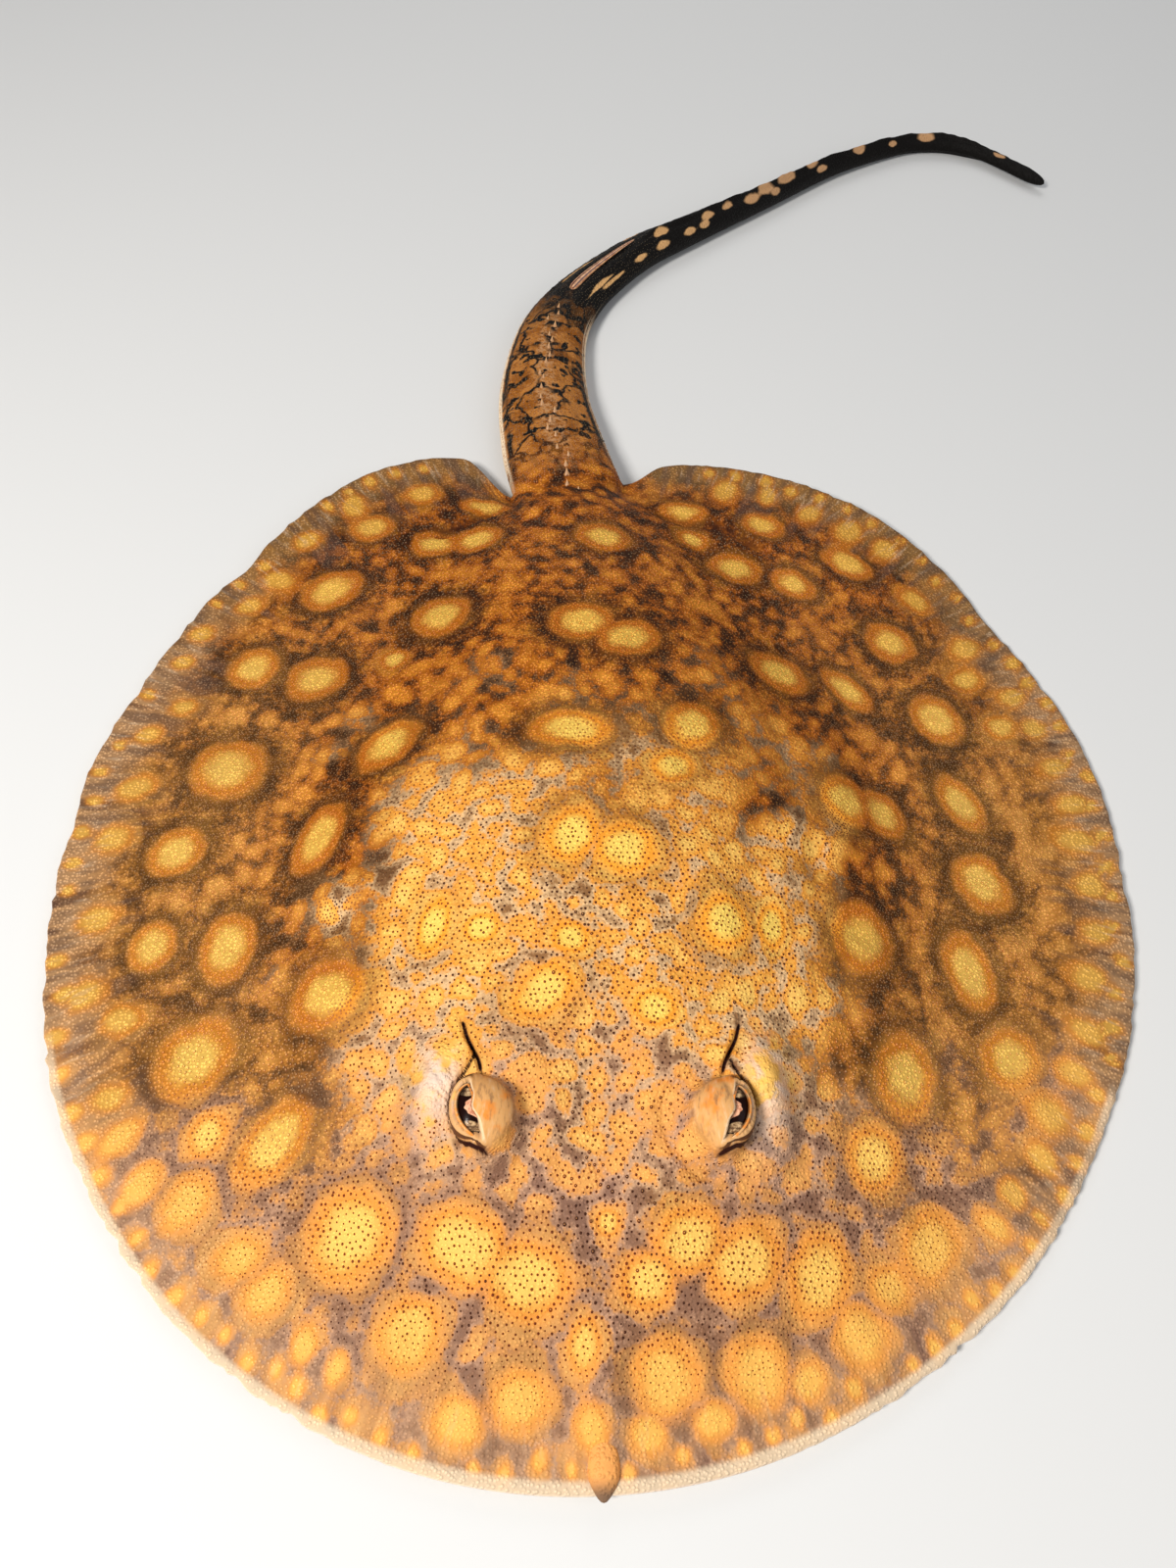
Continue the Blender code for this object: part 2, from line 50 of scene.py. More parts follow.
# An even rise from 0 to 1 between two values, level at both ends: t * t * (3 - 2 t)
def smoothStep(low, high, value):
    t = np.clip((value - low) / (high - low), 0, 1)
    return t * t * (3 - 2 * t)


# A bell of height 1: exp(-(offset / width) squared)
def bell(offset, width):
    return np.exp(-(offset / width) ** 2)


def blendOf(a, b, share):
    return a * (1 - share) + b * share


# Smooth random ripples from -1 to 1: a sum of sine waves of one length in seeded directions
def ripples(x, y, length, seed, waves=9):
    draw = np.random.default_rng(seed)
    total = np.zeros(np.broadcast(x, y).shape)
    for _ in range(waves):
        heading, phase, stretch = draw.uniform((0, 0, 0.7), (2 * math.pi, 2 * math.pi, 1.4))
        step = 2 * math.pi * stretch / length
        total += np.sin(step * (x * math.cos(heading) + y * math.sin(heading)) + phase)
    return total / math.sqrt(waves) / 1.4


# A smooth line through given points: Catmull-Rom, each run left along the line between its neighbours
def smoothLine(points, steps):
    points = np.array(points, float)
    p = np.vstack([2 * points[0] - points[1], points, 2 * points[-1] - points[-2]])
    t = np.linspace(0, 1, steps, endpoint=False)[:, None]
    runs = [0.5 * (2 * b + (c - a) * t + (2 * a - 5 * b + 4 * c - d) * t ** 2
                   + (3 * b - a - 3 * c + d) * t ** 3)
            for a, b, c, d in zip(p[:-3], p[1:-2], p[2:-1], p[3:])]
    return np.vstack(runs + [points[-1:]])


# Distance from each place to a smooth line on the plan, and how far along the line it lies, 0 to 1
def distanceToLine(x, y, points, steps=6):
    line = smoothLine(points, steps)
    best, along = np.full(x.shape, 1.0), np.zeros(x.shape)
    reachOfLine = 30 * mm
    near = ((x > line[:, 0].min() - reachOfLine) & (x < line[:, 0].max() + reachOfLine)
            & (y > line[:, 1].min() - reachOfLine) & (y < line[:, 1].max() + reachOfLine))
    px, py = x[near], y[near]
    found, where = np.full(px.shape, 1.0), np.zeros(px.shape)
    for k, (a, b) in enumerate(zip(line[:-1], line[1:])):
        run = b - a
        t = np.clip(((px - a[0]) * run[0] + (py - a[1]) * run[1]) / (run @ run), 0, 1)
        gap = np.hypot(px - a[0] - t * run[0], py - a[1] - t * run[1])
        closer = gap < found
        found = np.where(closer, gap, found)
        where = np.where(closer, (k + t) / (len(line) - 1), where)
    best[near], along[near] = found, where
    return best, along


def angleFrom(turn, direction):
    return np.abs(np.arctan2(np.sin(turn - direction), np.cos(turn - direction)))


# The body's shape, with the same formulas as its solids
disc = {
    "sideReach": 119 * mm,
    "snoutReach": 10 * mm,
    "spread": ((1, 1.1 * mm), (2, -1.7 * mm), (3, -0.6 * mm)),
    "rearLobes": ((147, 7.5 * mm), (-153, 10.2 * mm)),  # (direction in degrees from the snout, size)
    "lobeWidth": math.radians(20),
    "notchAngle": math.radians(-177),
    "notchDepth": 18 * mm,
    "notchWidth": math.radians(9),
    "nicks": ((-131, 2.0 * mm), (-90, 1.0 * mm), (122, 0.9 * mm)),
    "edgeHalf": 1.1 * mm,
    "edgeLevel": 1.6 * mm,
    "finRise": 7.5 * mm,
    "backRise": 20.5 * mm,
    "shoulderY": -10 * mm,
    "bodyHalf": 44 * mm,
    "rearSet": 5 * mm,
    "snoutRun": 112 * mm,  # from the shoulder to where the hump ends in front
    "rearRun": 110 * mm,
    "rearFall": 12.5 * mm,
    "frontNarrowing": 5 * mm,
    "rearNarrowing": 30 * mm,
    "gillRise": 2.2 * mm,
    "browRise": 2.2 * mm,
    "cheekRise": 3.3 * mm,
    "poleY": -62 * mm,  # where the grid of the upper side begins
    "bellyPoleY": -74 * mm,
}
tail = {
    "route": [  # middle of the tail on the plan, in millimetres
        (-4, 84), (-5.5, 102), (-10, 122), (-13.3, 147), (-11.3, 174), (-4.5, 192), (5.5, 206), (18, 219),
        (34, 232), (59, 252), (87, 275), (112, 290), (125, 293.5), (136, 292.5), (146, 287), (163, 270.5),
    ],
    "width": 31 * mm,
    "tipWidth": 4.6 * mm,
    "height": 14 * mm,
    "tipHeight": 4.0 * mm,
    "fall": 131 * mm,
    "foldLift": 1.5 * mm,
    "rootStation": 22.5 * mm,  # length along it where it leaves the disc
    # each rises between the first two lengths along the tail and fades between the last two
    "ridgeRun": (14 * mm, 40 * mm, 96 * mm, 150 * mm),
    "grooveRun": (20 * mm, 60 * mm, 120 * mm, 200 * mm),
    "crestRun": (138 * mm, 152 * mm, 284 * mm, 302 * mm),
    "keelRun": (146 * mm, 158 * mm, 290 * mm, 306 * mm),
    "ridge": 0.9 * mm,
    "groove": 0.5 * mm,
    "crest": 1.35 * mm,
    "knobs": 0.16 * mm,  # of the skin's uneven surface
    "cap": 9 * mm,  # length of the rounded tip
    "crown": 0.62,  # share of the height over the widest place
}
coatDepth = 0.35 * mm  # how far the skin lies inside the solids, so that denticles have room


# Sideways place of the body's middle: it swings to one side behind the shoulder, as the square
def bodyAxis(y):
    return -disc["rearSet"] * (np.maximum(y, 0) / (100 * mm)) ** 2


# Distance from the disc's middle to its margin: a round with a longer snout, uneven waves, rear lobes,
# small nicks, a bay at the tail and fine scallops
def discReach(turn):
    edge = disc["sideReach"] + disc["snoutReach"] * np.maximum(np.cos(turn), 0) ** 1.7
    for waves, size in disc["spread"]:
        edge = edge + size * np.sin(waves * turn)
    for degrees, size in disc["rearLobes"]:
        edge += size * bell(angleFrom(turn, math.radians(degrees)), disc["lobeWidth"])
    for degrees, depth in disc["nicks"]:
        edge -= depth * bell(angleFrom(turn, math.radians(degrees)), math.radians(4))
    edge -= disc["notchDepth"] * bell(angleFrom(turn, disc["notchAngle"]), disc["notchWidth"])
    return edge + 0.4 * mm * np.sin(11 * turn + 0.8) * smoothStep(0.5, 1.2, angleFrom(turn, 0))


# Height of the middle of the margin: curled up a little at the snout and more at the rear lobes
def marginLevel(turn):
    away = angleFrom(turn, 0)
    front = 0.9 * mm * bell(away, 0.7)
    rear = 2.4 * mm * smoothStep(2.1, 2.75, away)
    ripple = 0.4 * mm * np.sin(5 * turn + 1) * smoothStep(0.6, 1.2, away)
    return disc["edgeLevel"] + front + rear + ripple


def finShare(x, y):
    turn = np.arctan2(x, -y)
    return np.clip(np.hypot(x, y) / (discReach(turn) - disc["edgeHalf"]), 0, 1), turn


# The body over the fins: a long hump with steep round sides, swellings over the gills and a brow
def bodyRise(x, y):
    ahead = np.clip((disc["shoulderY"] - y) / disc["snoutRun"], 0, 1)
    behind = np.clip((y - disc["shoulderY"]) / disc["rearRun"], 0, 1.15)
    height = disc["backRise"] * (1 - ahead ** 2.2) - disc["rearFall"] * behind ** 1.7
    half = disc["bodyHalf"] - disc["frontNarrowing"] * ahead ** 2 - disc["rearNarrowing"] * behind ** 1.6
    hump = height * np.exp(-math.log(2) * (np.abs(x - bodyAxis(y)) / half) ** 2.8)
    gills = disc["gillRise"] * bell(np.abs(x) - 54 * mm, 12 * mm) * bell(y + 22 * mm, 34 * mm)
    brow = disc["browRise"] * bell(np.abs(x) - 22 * mm, 9 * mm) * bell(y + 68 * mm, 14 * mm)
    fromCheek = np.hypot((np.abs(x) - 31.5 * mm) / (4.6 * mm), (y + 68 * mm) / (9.5 * mm))
    return hump + gills + brow + disc["cheekRise"] * bell(fromCheek, 0.95)


def backHeight(x, y):
    share, turn = finShare(x, y)
    rim = disc["edgeHalf"] + blendOf(disc["edgeLevel"], marginLevel(turn), smoothStep(0.5, 1, share))
    return rim + disc["finRise"] * (1 - share ** 1.35) + bodyRise(x, y)


def bellyHeight(x, y):
    share, turn = finShare(x, y)
    return (marginLevel(turn) - disc["edgeHalf"]) * smoothStep(0.82, 1, share)


# Distance from the pole to the margin in each direction, by forty halvings
def marginDistance(turn):
    near, far = np.zeros_like(turn), np.full_like(turn, 240 * mm)
    for _ in range(40):
        middle = (near + far) / 2
        x, y = middle * np.sin(turn), disc["poleY"] - middle * np.cos(turn)
        inside = np.hypot(x, y) < discReach(np.arctan2(x, -y))
        near, far = np.where(inside, middle, near), np.where(inside, far, middle)
    return near


tailLine = smoothLine(np.array(tail["route"]) * mm, 24)
tailLengths = np.concatenate([[0], np.cumsum(np.linalg.norm(np.diff(tailLine, axis=0), axis=1))])
tailTotal = tailLengths[-1]


# Place and heading on the plan at a length along the tail
def tailFrame(along):
    def at(s):
        return np.stack([np.interp(s, tailLengths, tailLine[:, k]) for k in (0, 1)], axis=-1)
    heading = at(along + 1.5 * mm) - at(along - 1.5 * mm)
    return at(along), heading / np.linalg.norm(heading, axis=-1, keepdims=True)


def tailSize(along):
    left = np.clip(1 - along / tailTotal, 0, 1)
    narrowing = np.exp(-(np.maximum(along, 0) / tail["fall"]) ** 1.75)
    width = tail["tipWidth"] + (tail["width"] - tail["tipWidth"]) * narrowing
    height = tail["tipHeight"] + (tail["height"] - tail["tipHeight"]) * left ** 1.3
    return width, height, tail["foldLift"] * smoothStep(110 * mm, 150 * mm, along)


# Folds of the skin: (x, y) in millimetres along each on the left side, then its depth, width and the strength
# of the painted shade in it
folds = {  # mirrored to the right
    "spiracle": ([(26.4, -52.4), (25.5, -54.6), (25.0, -56.4), (24.3, -58.0), (23.1, -60.2), (22.3, -62.0),
                  (21.7, -64.6)], 1.2, 0.36, 1.0),
    "spiracleFlap": ([(24.2, -58.2), (23.3, -60.0), (23.9, -61.6), (24.6, -62.9), (25.7, -64.6),
                      (26.8, -66.6)], 0.9, 0.30, 0.9),
    "underLid": ([(24.2, -64.4), (26.0, -66.0), (26.9, -68.5), (26.7, -71.2), (26.0, -73.8), (24.4, -76.2),
                  (21.4, -77.8), (18.0, -79.0)], 1.2, 0.46, 1.0),
    "beforeEye": ([(22.6, -77.8), (19.4, -80.6), (16.4, -80.0), (13.4, -77.0)], 0.7, 0.9, 0.1),
    "besideLid": ([(14.6, -78.6), (11.8, -74.6), (10.9, -70.6), (11.6, -67.2), (14.4, -64.8)], 0.5, 1.0, 0.0),
    "browFold": ([(6.0, -83.0), (12.0, -84.6), (19.0, -84.2), (26.0, -81.0)], 0.5, 1.1, 0.0),
    "cheek": ([(30.5, -60.0), (35.0, -66.0), (36.5, -74.0), (33.0, -82.0)], 0.5, 1.8, 0.15),
    "flank": ([(43.0, -30.0), (45.0, -8.0), (41.0, 16.0), (35.0, 36.0)], 0.6, 2.4, 0.1),
}
rearFolds = {  # not mirrored
    "leftRoot": ([(14.5, 97.0), (24.0, 94.5), (36.0, 91.5), (48.0, 82.0)], 1.5, 1.4, 0.4),
    "rightRoot": ([(-24.0, 94.5), (-33.0, 92.0), (-42.0, 86.5)], 1.5, 1.3, 0.4),
    "leftLobe": ([(12.0, 105.0), (24.0, 104.0), (38.0, 101.0)], 0.6, 1.6, 0.25),
}


foldRows = [(np.array(points) * mm * (side, 1), depth * mm, width * mm, dark)
            for rows, sides in ((folds, (1, -1)), (rearFolds, (1,)))
            for points, depth, width, dark in rows.values() for side in sides]


# How far the skin sinks in its folds, how many widths away the nearest fold is, and how much painted shade
# that one gets:
# each fold is a bell across its line, with a low swelling on both sides, and fades at its ends
def foldRelief(x, y):
    sunk, crease, dark = np.zeros(x.shape), np.full(x.shape, 5.0), np.zeros(x.shape)
    for points, depth, width, shadeStrength in foldRows:
        gap, along = distanceToLine(x, y, points)
        fade = np.clip(np.sin(math.pi * np.clip(along * 0.94 + 0.03, 0, 1)) * 2.2, 0, 1)
        sunk += depth * fade * (bell(gap, width) - 0.28 * bell(gap - 2.4 * width, 1.3 * width))
        ratio = gap / width + 2.5 * (1 - fade)
        dark = np.where(ratio < crease, shadeStrength, dark)
        crease = np.minimum(crease, ratio)
    return sunk, (crease, dark)


# Top of the tail's root carried forward under the back, so that the two meet in one smooth form
def tailRootTop(x, y):
    place, heading = tailFrame(np.array([12 * mm]))
    across = (x - place[0, 0]) * heading[0, 1] - (y - place[0, 1]) * heading[0, 0]
    along = 12 * mm + (x - place[0, 0]) * heading[0, 0] + (y - place[0, 1]) * heading[0, 1]
    width, height, _ = tailSize(along)
    dome = np.sqrt(np.clip(1 - (2 * across / width) ** 2, 0, 1))
    return 0.38 * height + 0.62 * height * dome - 30 * mm * (np.abs(across) > width / 2), along


relief = {  # heights of the skin's fine forms
    "headDip": 1.2 * mm,  # between the eyes
    "valve": 1.5 * mm,
    "nose": 1.3 * mm,
    "gillRidges": 0.6 * mm,
    "finRays": 0.22 * mm,
    "soft": 0.5 * mm,
    "softFine": 0.2 * mm,
    "spine": 0.9 * mm,
    "wrinkles": 0.2 * mm,
    "blend": 0.9 * mm,  # how softly the back meets the tail's root
}


# Height of the skin's upper side: the solids' back, less the coat's depth, with the skin's fine forms
def skinTop(x, y):
    share, turn = finShare(x, y)
    base = backHeight(x, y) - coatDepth
    root, along = tailRootTop(x, y)
    gain = smoothStep(-34 * mm, 4 * mm, along)
    blend = relief["blend"]
    top = np.logaddexp(base / blend, (root - coatDepth - (1 - gain) * 14 * mm) / blend) * blend
    base = np.where(share < 0.9, blendOf(base, top, gain), base)
    between = -relief["headDip"] * bell(x, 9 * mm) * bell(y + 72 * mm, 16 * mm)
    fromValve = np.hypot((np.abs(x) - 29.6 * mm) / (5.2 * mm), (y + 62.5 * mm) / (6.6 * mm))
    valve = relief["valve"] * bell(fromValve, 0.8)
    nose = relief["nose"] * bell(x, 5 * mm) * bell(y + 118 * mm, 12 * mm)
    bodySide = np.abs(x - bodyAxis(y)) / (50 * mm)
    gillRidges = relief["gillRidges"] * np.sin((y + 20 * mm) / (7.5 * mm) * 2 * math.pi / 1.6 + 3 * bodySide)
    gillRidges *= bell(np.abs(x) - 50 * mm, 14 * mm) * bell(y + 28 * mm, 30 * mm)
    rays = relief["finRays"] * np.sin(turn * 95 + 2.2 * ripples(x, y, 26 * mm, 3))
    rays = rays * smoothStep(0.45, 0.85, share) * (0.5 + 0.5 * ripples(x, y, 30 * mm, 5))
    soft = relief["soft"] * ripples(x, y, 20 * mm, 7) + relief["softFine"] * ripples(x, y, 6.5 * mm, 8)
    spine = relief["spine"] * bell(x - bodyAxis(y), 3.2 * mm) * smoothStep(20 * mm, 70 * mm, y)
    aside = np.hypot(np.abs(x) - 27 * mm, y + 71 * mm)
    spread = np.arctan2(np.abs(x) - 25 * mm, -(y + 71 * mm))
    wrinkles = relief["wrinkles"] * np.sin(spread * 24 + ripples(x, y, 8 * mm, 11))
    wrinkles = wrinkles * bell(aside - 6.5 * mm, 4 * mm) * smoothStep(24 * mm, 29 * mm, np.abs(x))
    sunk, dark = foldRelief(x, y)
    calm = smoothStep(1.0, 0.86, share)
    forms = between + valve + nose + (gillRidges + soft) * calm + rays + spine + wrinkles - sunk
    return base + np.minimum(forms, 0.9 * mm + 0.6 * mm * calm), dark


# The skin rises into a knob, wraps the eyeball and opens over it in a long slit
eyes = {
    "knobRadii": (5.0 * mm, 7.5 * mm, 8.0 * mm),
    "innerRadius": 7.2 * mm,  # of the knob's side towards the middle of the head
    "knobInset": (-1.9 * mm, -0.7 * mm, -2.6 * mm),  # knob's middle from the eyeball's
    "ballShare": (0.86, 0.95, 0.88),  # eyeball within its solid
    "lean": math.radians(70),  # the eye looks out and this far up
    "slitHalf": 4.8 * mm,
    "slitAhead": 1.3 * mm,
    "slitEnds": 1.7 * mm,  # how far the ends of the slit curve up
    "slitTilt": 1.3 * mm,  # how much further up the front end lies
    "slitBelow": 3.1 * mm,
    "slitAbove": -0.85 * mm,
    "curtain": 0.85 * mm,  # sag of the upper lid in its middle
    "snap": 0.16 * mm,  # how near the slit's edge a point is drawn onto it
    "knobEnd": 1.7,  # all that lies round an eye, in the knob's radii
    "wrapEnd": 1.45,
    "wrap": 1.06,  # the skin's distance from the ball's middle, in the ball's radii
    "lip": 0.05,
    "lowerLip": 0.03,
    "pocket": 0.80,
}


def eyeFrame(name, side):
    low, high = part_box(name)
    centre = np.array((low + high) / 2)
    radii = np.array((high - low) / 2) * np.array(eyes["ballShare"])
    outward = np.array([side * math.cos(eyes["lean"]), 0, math.sin(eyes["lean"])])
    upward = np.array([-side * math.sin(eyes["lean"]), 0, math.cos(eyes["lean"])])
    return centre, radii, outward, upward


eyeSides = {"left": 1, "right": -1}
eyeFrames = {side: eyeFrame(f"eye_{name}", side) for name, side in eyeSides.items()}


# Draws the even grid together round both eyes: r' = r (1 - 0.55 bell(r / 12 mm))
def gatherAtEyes(x, y):
    for centre, _, _, _ in eyeFrames.values():
        dx, dy = x - centre[0] * 0.985, y - centre[1] - 0.8 * mm
        pull = 1 - 0.55 * bell(np.hypot(dx, dy), 12 * mm)
        x, y = x - dx + dx * pull, y - dy + dy * pull
    return x, y


# The slit's lower and upper edge at a place along it, -1 to 1. It is a crescent: both edges start
# from ends that curve up, the lower one bows down by a root of (1 - v^2), the upper one less and
# with a sag in its middle
def slitLimits(forward):
    bow = np.clip(1 - forward ** 2, 0, 1)
    ends = eyes["slitEnds"] + eyes["slitTilt"] * np.clip(forward, -1, 1)
    sag = eyes["curtain"] * bell(forward + 0.1, 0.30) * bow
    return ends - eyes["slitBelow"] * bow ** 0.62, ends - eyes["slitAbove"] * bow - sag


# Where a place lies against the slit's edge, under 0 inside, and whether it lies under the slit's middle
def slitEdge(offset, upward):
    forward = (-offset[:, 1] - eyes["slitAhead"]) / eyes["slitHalf"]
    level = offset @ upward
    lower, upper = slitLimits(forward)
    middle = (lower + upper) / 2
    past = (np.abs(forward) - 1) * eyes["slitHalf"]
    edge = np.where(level > middle, level - upper, lower - level)
    edge = np.where(past > 0, np.hypot(past, np.abs(level - upper)), edge)
    return edge, smoothStep(0.5 * mm, -0.5 * mm, level - middle)


# Turns the places near an eye onto its knob, an ellipsoid: the distance from its middle is read as an
# angle. Gives also that distance, and the share of each place that is lid
def ontoKnob(points, side, centre):
    middle = centre + np.array(eyes["knobInset"]) * (side, 1, 1)
    width, length, height = eyes["knobRadii"]
    inward = smoothStep(2.5 * mm, -4 * mm, side * (points[:, 0] - middle[0]))
    width = blendOf(width, eyes["innerRadius"], inward)
    dx, dy = (points[:, 0] - middle[0]) / width, (points[:, 1] - middle[1]) / length
    away, heading = np.hypot(dx, dy), np.arctan2(dy, dx)
    angle = np.minimum(away * 1.19, math.radians(84))
    dome = middle + np.stack([width * np.sin(angle) * np.cos(heading),
                              length * np.sin(angle) * np.sin(heading), height * np.cos(angle)], axis=1)
    ofKnob = 1 - smoothStep(blendOf(0.90, 0.62, inward), blendOf(1.22, 1.45, inward), away)
    ofLid = 1 - smoothStep(blendOf(0.92, 0.55, inward), blendOf(1.12, 0.95, inward), away)
    return blendOf(points, dome, np.where(away < eyes["knobEnd"], ofKnob, 0)[:, None]), away, ofLid


# Raises the knobs; then the skin wraps the eyeball, with a lip round the slit and a pocket behind the ball.
# Points next to the slit's edge are drawn onto it, so that the lid ends in a clean line
def shapeEyes(points):
    marks = {name: np.zeros(len(points)) for name in ("lid", "pocket", "slitBelow", "lidAcross", "lidAlong")}
    marks["slit"] = np.full(len(points), 5.0)
    for side, (centre, radii, outward, upward) in eyeFrames.items():
        points, away, ofLid = ontoKnob(points, side, centre)
        near = away < eyes["knobEnd"]
        offset = points - centre
        facing = ((offset @ outward) > 0) & near
        edge, below = slitEdge(offset, upward)
        shift = np.where(facing & (np.abs(edge) < eyes["snap"]), np.where(below > 0.5, edge, -edge), 0)
        offset = offset + shift[:, None] * upward
        distance = np.linalg.norm(offset / radii, axis=1)
        edge, below = slitEdge(offset, upward)
        inside = smoothStep(-0.04 * mm, -0.22 * mm, edge) * facing
        lip = bell(edge - 0.30 * mm, 0.45 * mm) * facing * (1 - inside)
        wrap = eyes["wrap"] + (eyes["lip"] + eyes["lowerLip"] * below) * lip
        target = blendOf(np.where(distance < wrap, wrap, distance + 0.03 * lip), eyes["pocket"], inside)
        scale = np.where(facing & (away < eyes["wrapEnd"]), target / np.maximum(distance, 0.2), 1)
        points = centre + offset * scale[:, None]
        across = np.arctan2(side * (points - centre)[:, 0], points[:, 2] - centre[2] + 7 * mm)
        marks["lid"] = np.maximum(marks["lid"], ofLid)
        marks["lidAcross"] = np.where(near, across, marks["lidAcross"])
        marks["lidAlong"] = np.where(near, offset[:, 1], marks["lidAlong"])
        marks["pocket"] = np.maximum(marks["pocket"], inside)
        marks["slit"] = np.where(facing, np.minimum(edge / mm, 5), marks["slit"])
        marks["slitBelow"] = np.where(facing, below, marks["slitBelow"])
    return points, marks


def runEnds(name, along):
    low, full, fading, gone = tail[name]
    return smoothStep(low, full, along), smoothStep(gone, fading, along)


# A place on the tail's skin. The section is a low arch over a flat sole, with a ridge along
# each side of the base, a thin fold along the crest further out and one below. Angle 0 is the
# left side, a quarter turn the top
def tailPlace(along, angle):
    place, heading = tailFrame(along)
    width, height, lift = tailSize(along)
    width, height = width - 1.2 * coatDepth, height - coatDepth
    s, c = np.sin(angle), np.cos(angle)
    beyond = np.clip((along - (tailTotal - tail["cap"])) / tail["cap"], 0, 1)
    cap = np.sqrt(np.clip(1 - beyond ** 2.4, 0, 1))
    start, end = runEnds("ridgeRun", along)
    ridge = tail["ridge"] * bell(s, 0.22) * start * end
    sideways = (width / 2 * np.sign(c) * np.abs(c) ** 0.92 + ridge * np.sign(c)) * cap
    upper = tail["crown"] * height * np.maximum(s, 0) ** 0.95
    lower = -0.46 * height * np.abs(np.minimum(s, 0)) ** 0.7
    start, end = runEnds("grooveRun", along)
    upper = upper - tail["groove"] * bell(np.abs(c) - 0.62, 0.16) * (s > 0) * start * end
    arch = (1 - tail["crown"]) * height + cap * np.where(s > 0, upper, lower)
    z = lift + np.maximum(arch, 0) + 0.10 * mm
    start, end = runEnds("crestRun", along)
    crest = start * end * bell(c * width / 2, 0.62 * mm) * (s > 0)
    ragged = 1 + 0.25 * np.sin(along / (2.6 * mm)) * np.sin(along / (7.1 * mm))
    z = z + tail["crest"] * crest * ragged
    start, end = runEnds("keelRun", along)
    keel = start * end
    z = np.where(s < 0, blendOf(z, 0.15 * mm + 0 * z, keel * bell(c * width / 2, 0.75 * mm)), z)
    knobbly = tail["knobs"] * ripples(along, angle * width / 2, 5 * mm, 21) * cap * smoothStep(-0.3, 0.2, s)
    x = place[..., 0] + heading[..., 1] * sideways
    y = place[..., 1] - heading[..., 0] * sideways
    return np.stack([x, y, np.maximum(z + knobbly, 0.05 * mm)], axis=-1)


skinGrid = {
    "rootColumns": 24,  # across the tail's root
    "otherColumns": 456,
    "rimSteps": 4,
    "rimUnder": (0.15, 0.6, 0.95),  # share of the belly's colour on each row of the rim
    "sideAngle": math.radians(12),  # the tail's section between upper and lower grid
    "upperSteps": [(0, 0.006), (0.08, 0.0052), (0.36, 0.0056), (0.5, 0.0105), (0.93, 0.0115), (1, 0.007)],
    "upperRings": 138,
    "lowerSteps": [(0, 0.008), (0.3, 0.009), (0.45, 0.03), (0.9, 0.03), (1, 0.012)],
    "lowerRings": 34,
    "tailRows": 236,
    "ragged": ((0.55 * mm, 9 * mm, 31), (0.35 * mm, 3.6 * mm, 32)),  # margin's notches: depth, length, seed
    "raggedReach": 120,  # in millimetres, from a turn to a length along the margin
}
bellyPole = np.array([0, disc["bellyPoleY"]])
soleLift = 0.1 * mm  # of the belly off the floor


# Share of the way from the pole to the margin for each ring, from a step's size at each share
def ringShares(sizes, count):
    at = np.linspace(0, 1, 2000)
    density = 1 / np.interp(at, [p for p, _ in sizes], [s for _, s in sizes])
    total = np.concatenate([[0], np.cumsum((density[1:] + density[:-1]) / 2)])
    return np.interp(np.linspace(0, total[-1], count + 1), total, at)


def columnTurns(edgeLeft, edgeRight):
    at = np.linspace(edgeRight, edgeLeft + 2 * math.pi, 4000)
    rear = bell(angleFrom(at, math.pi), 0.5)
    front = bell(angleFrom(at, 0), 0.9)
    density = 1.3 + 1.1 * rear - 0.5 * front
    total = np.concatenate([[0], np.cumsum((density[1:] + density[:-1]) / 2)])
    return np.interp(np.linspace(0, total[-1], skinGrid["otherColumns"] + 1), total, at)


def turnOf(x, y):
    return np.mod(np.arctan2(x, -(y - disc["poleY"])), 2 * math.pi)


mouth = {  # depths of the forms pressed into the sole, and heights of those that stand in its bay
    "bay": 1.2 * mm,
    "curtain": 0.75 * mm,
    "jaw": 0.6 * mm,
    "lips": 0.9 * mm,
    "slits": 0.8 * mm,
    "slitCount": 5,  # gill slits on each side
}


# The mouth, nostril curtain and gill slits pressed into the sole, with the painted shade in the slits and
# along the mouth
def soleRelief(x, y):
    bay = mouth["bay"] * bell(np.hypot(x / (11 * mm), (y + 88 * mm) / (5 * mm)), 0.9)
    curtain = mouth["curtain"] * bell(np.hypot(x / (9 * mm), (y + 91 * mm) / (3 * mm)), 0.85)
    jaw = mouth["jaw"] * bell(np.hypot(x / (8 * mm), (y + 84.8 * mm) / (1.8 * mm)), 0.85)
    lips = mouth["lips"] * bell(y + 87.6 * mm - 0.02 * x ** 2 / mm, 0.7 * mm)
    lips = lips * smoothStep(9 * mm, 7 * mm, np.abs(x))
    slits = np.zeros(x.shape)
    for side in (1, -1):
        for k in range(mouth["slitCount"]):
            turn = side * math.radians(12 + 4 * k)
            dx, dy = x - side * (29 - 1.6 * k) * mm, y - (-72 + 7.2 * k) * mm
            across = dy * math.cos(turn) - dx * math.sin(turn)
            along = dx * math.cos(turn) + dy * math.sin(turn)
            slits = np.maximum(slits, bell(across, 0.8 * mm) * bell(along / (3.1 * mm), 1) ** 0.6)
    # Painted shade in the gill slits and along the mouth's line
    dark = np.maximum(slits, lips / mouth["lips"])
    return bay - curtain - jaw + lips + mouth["slits"] * slits, dark


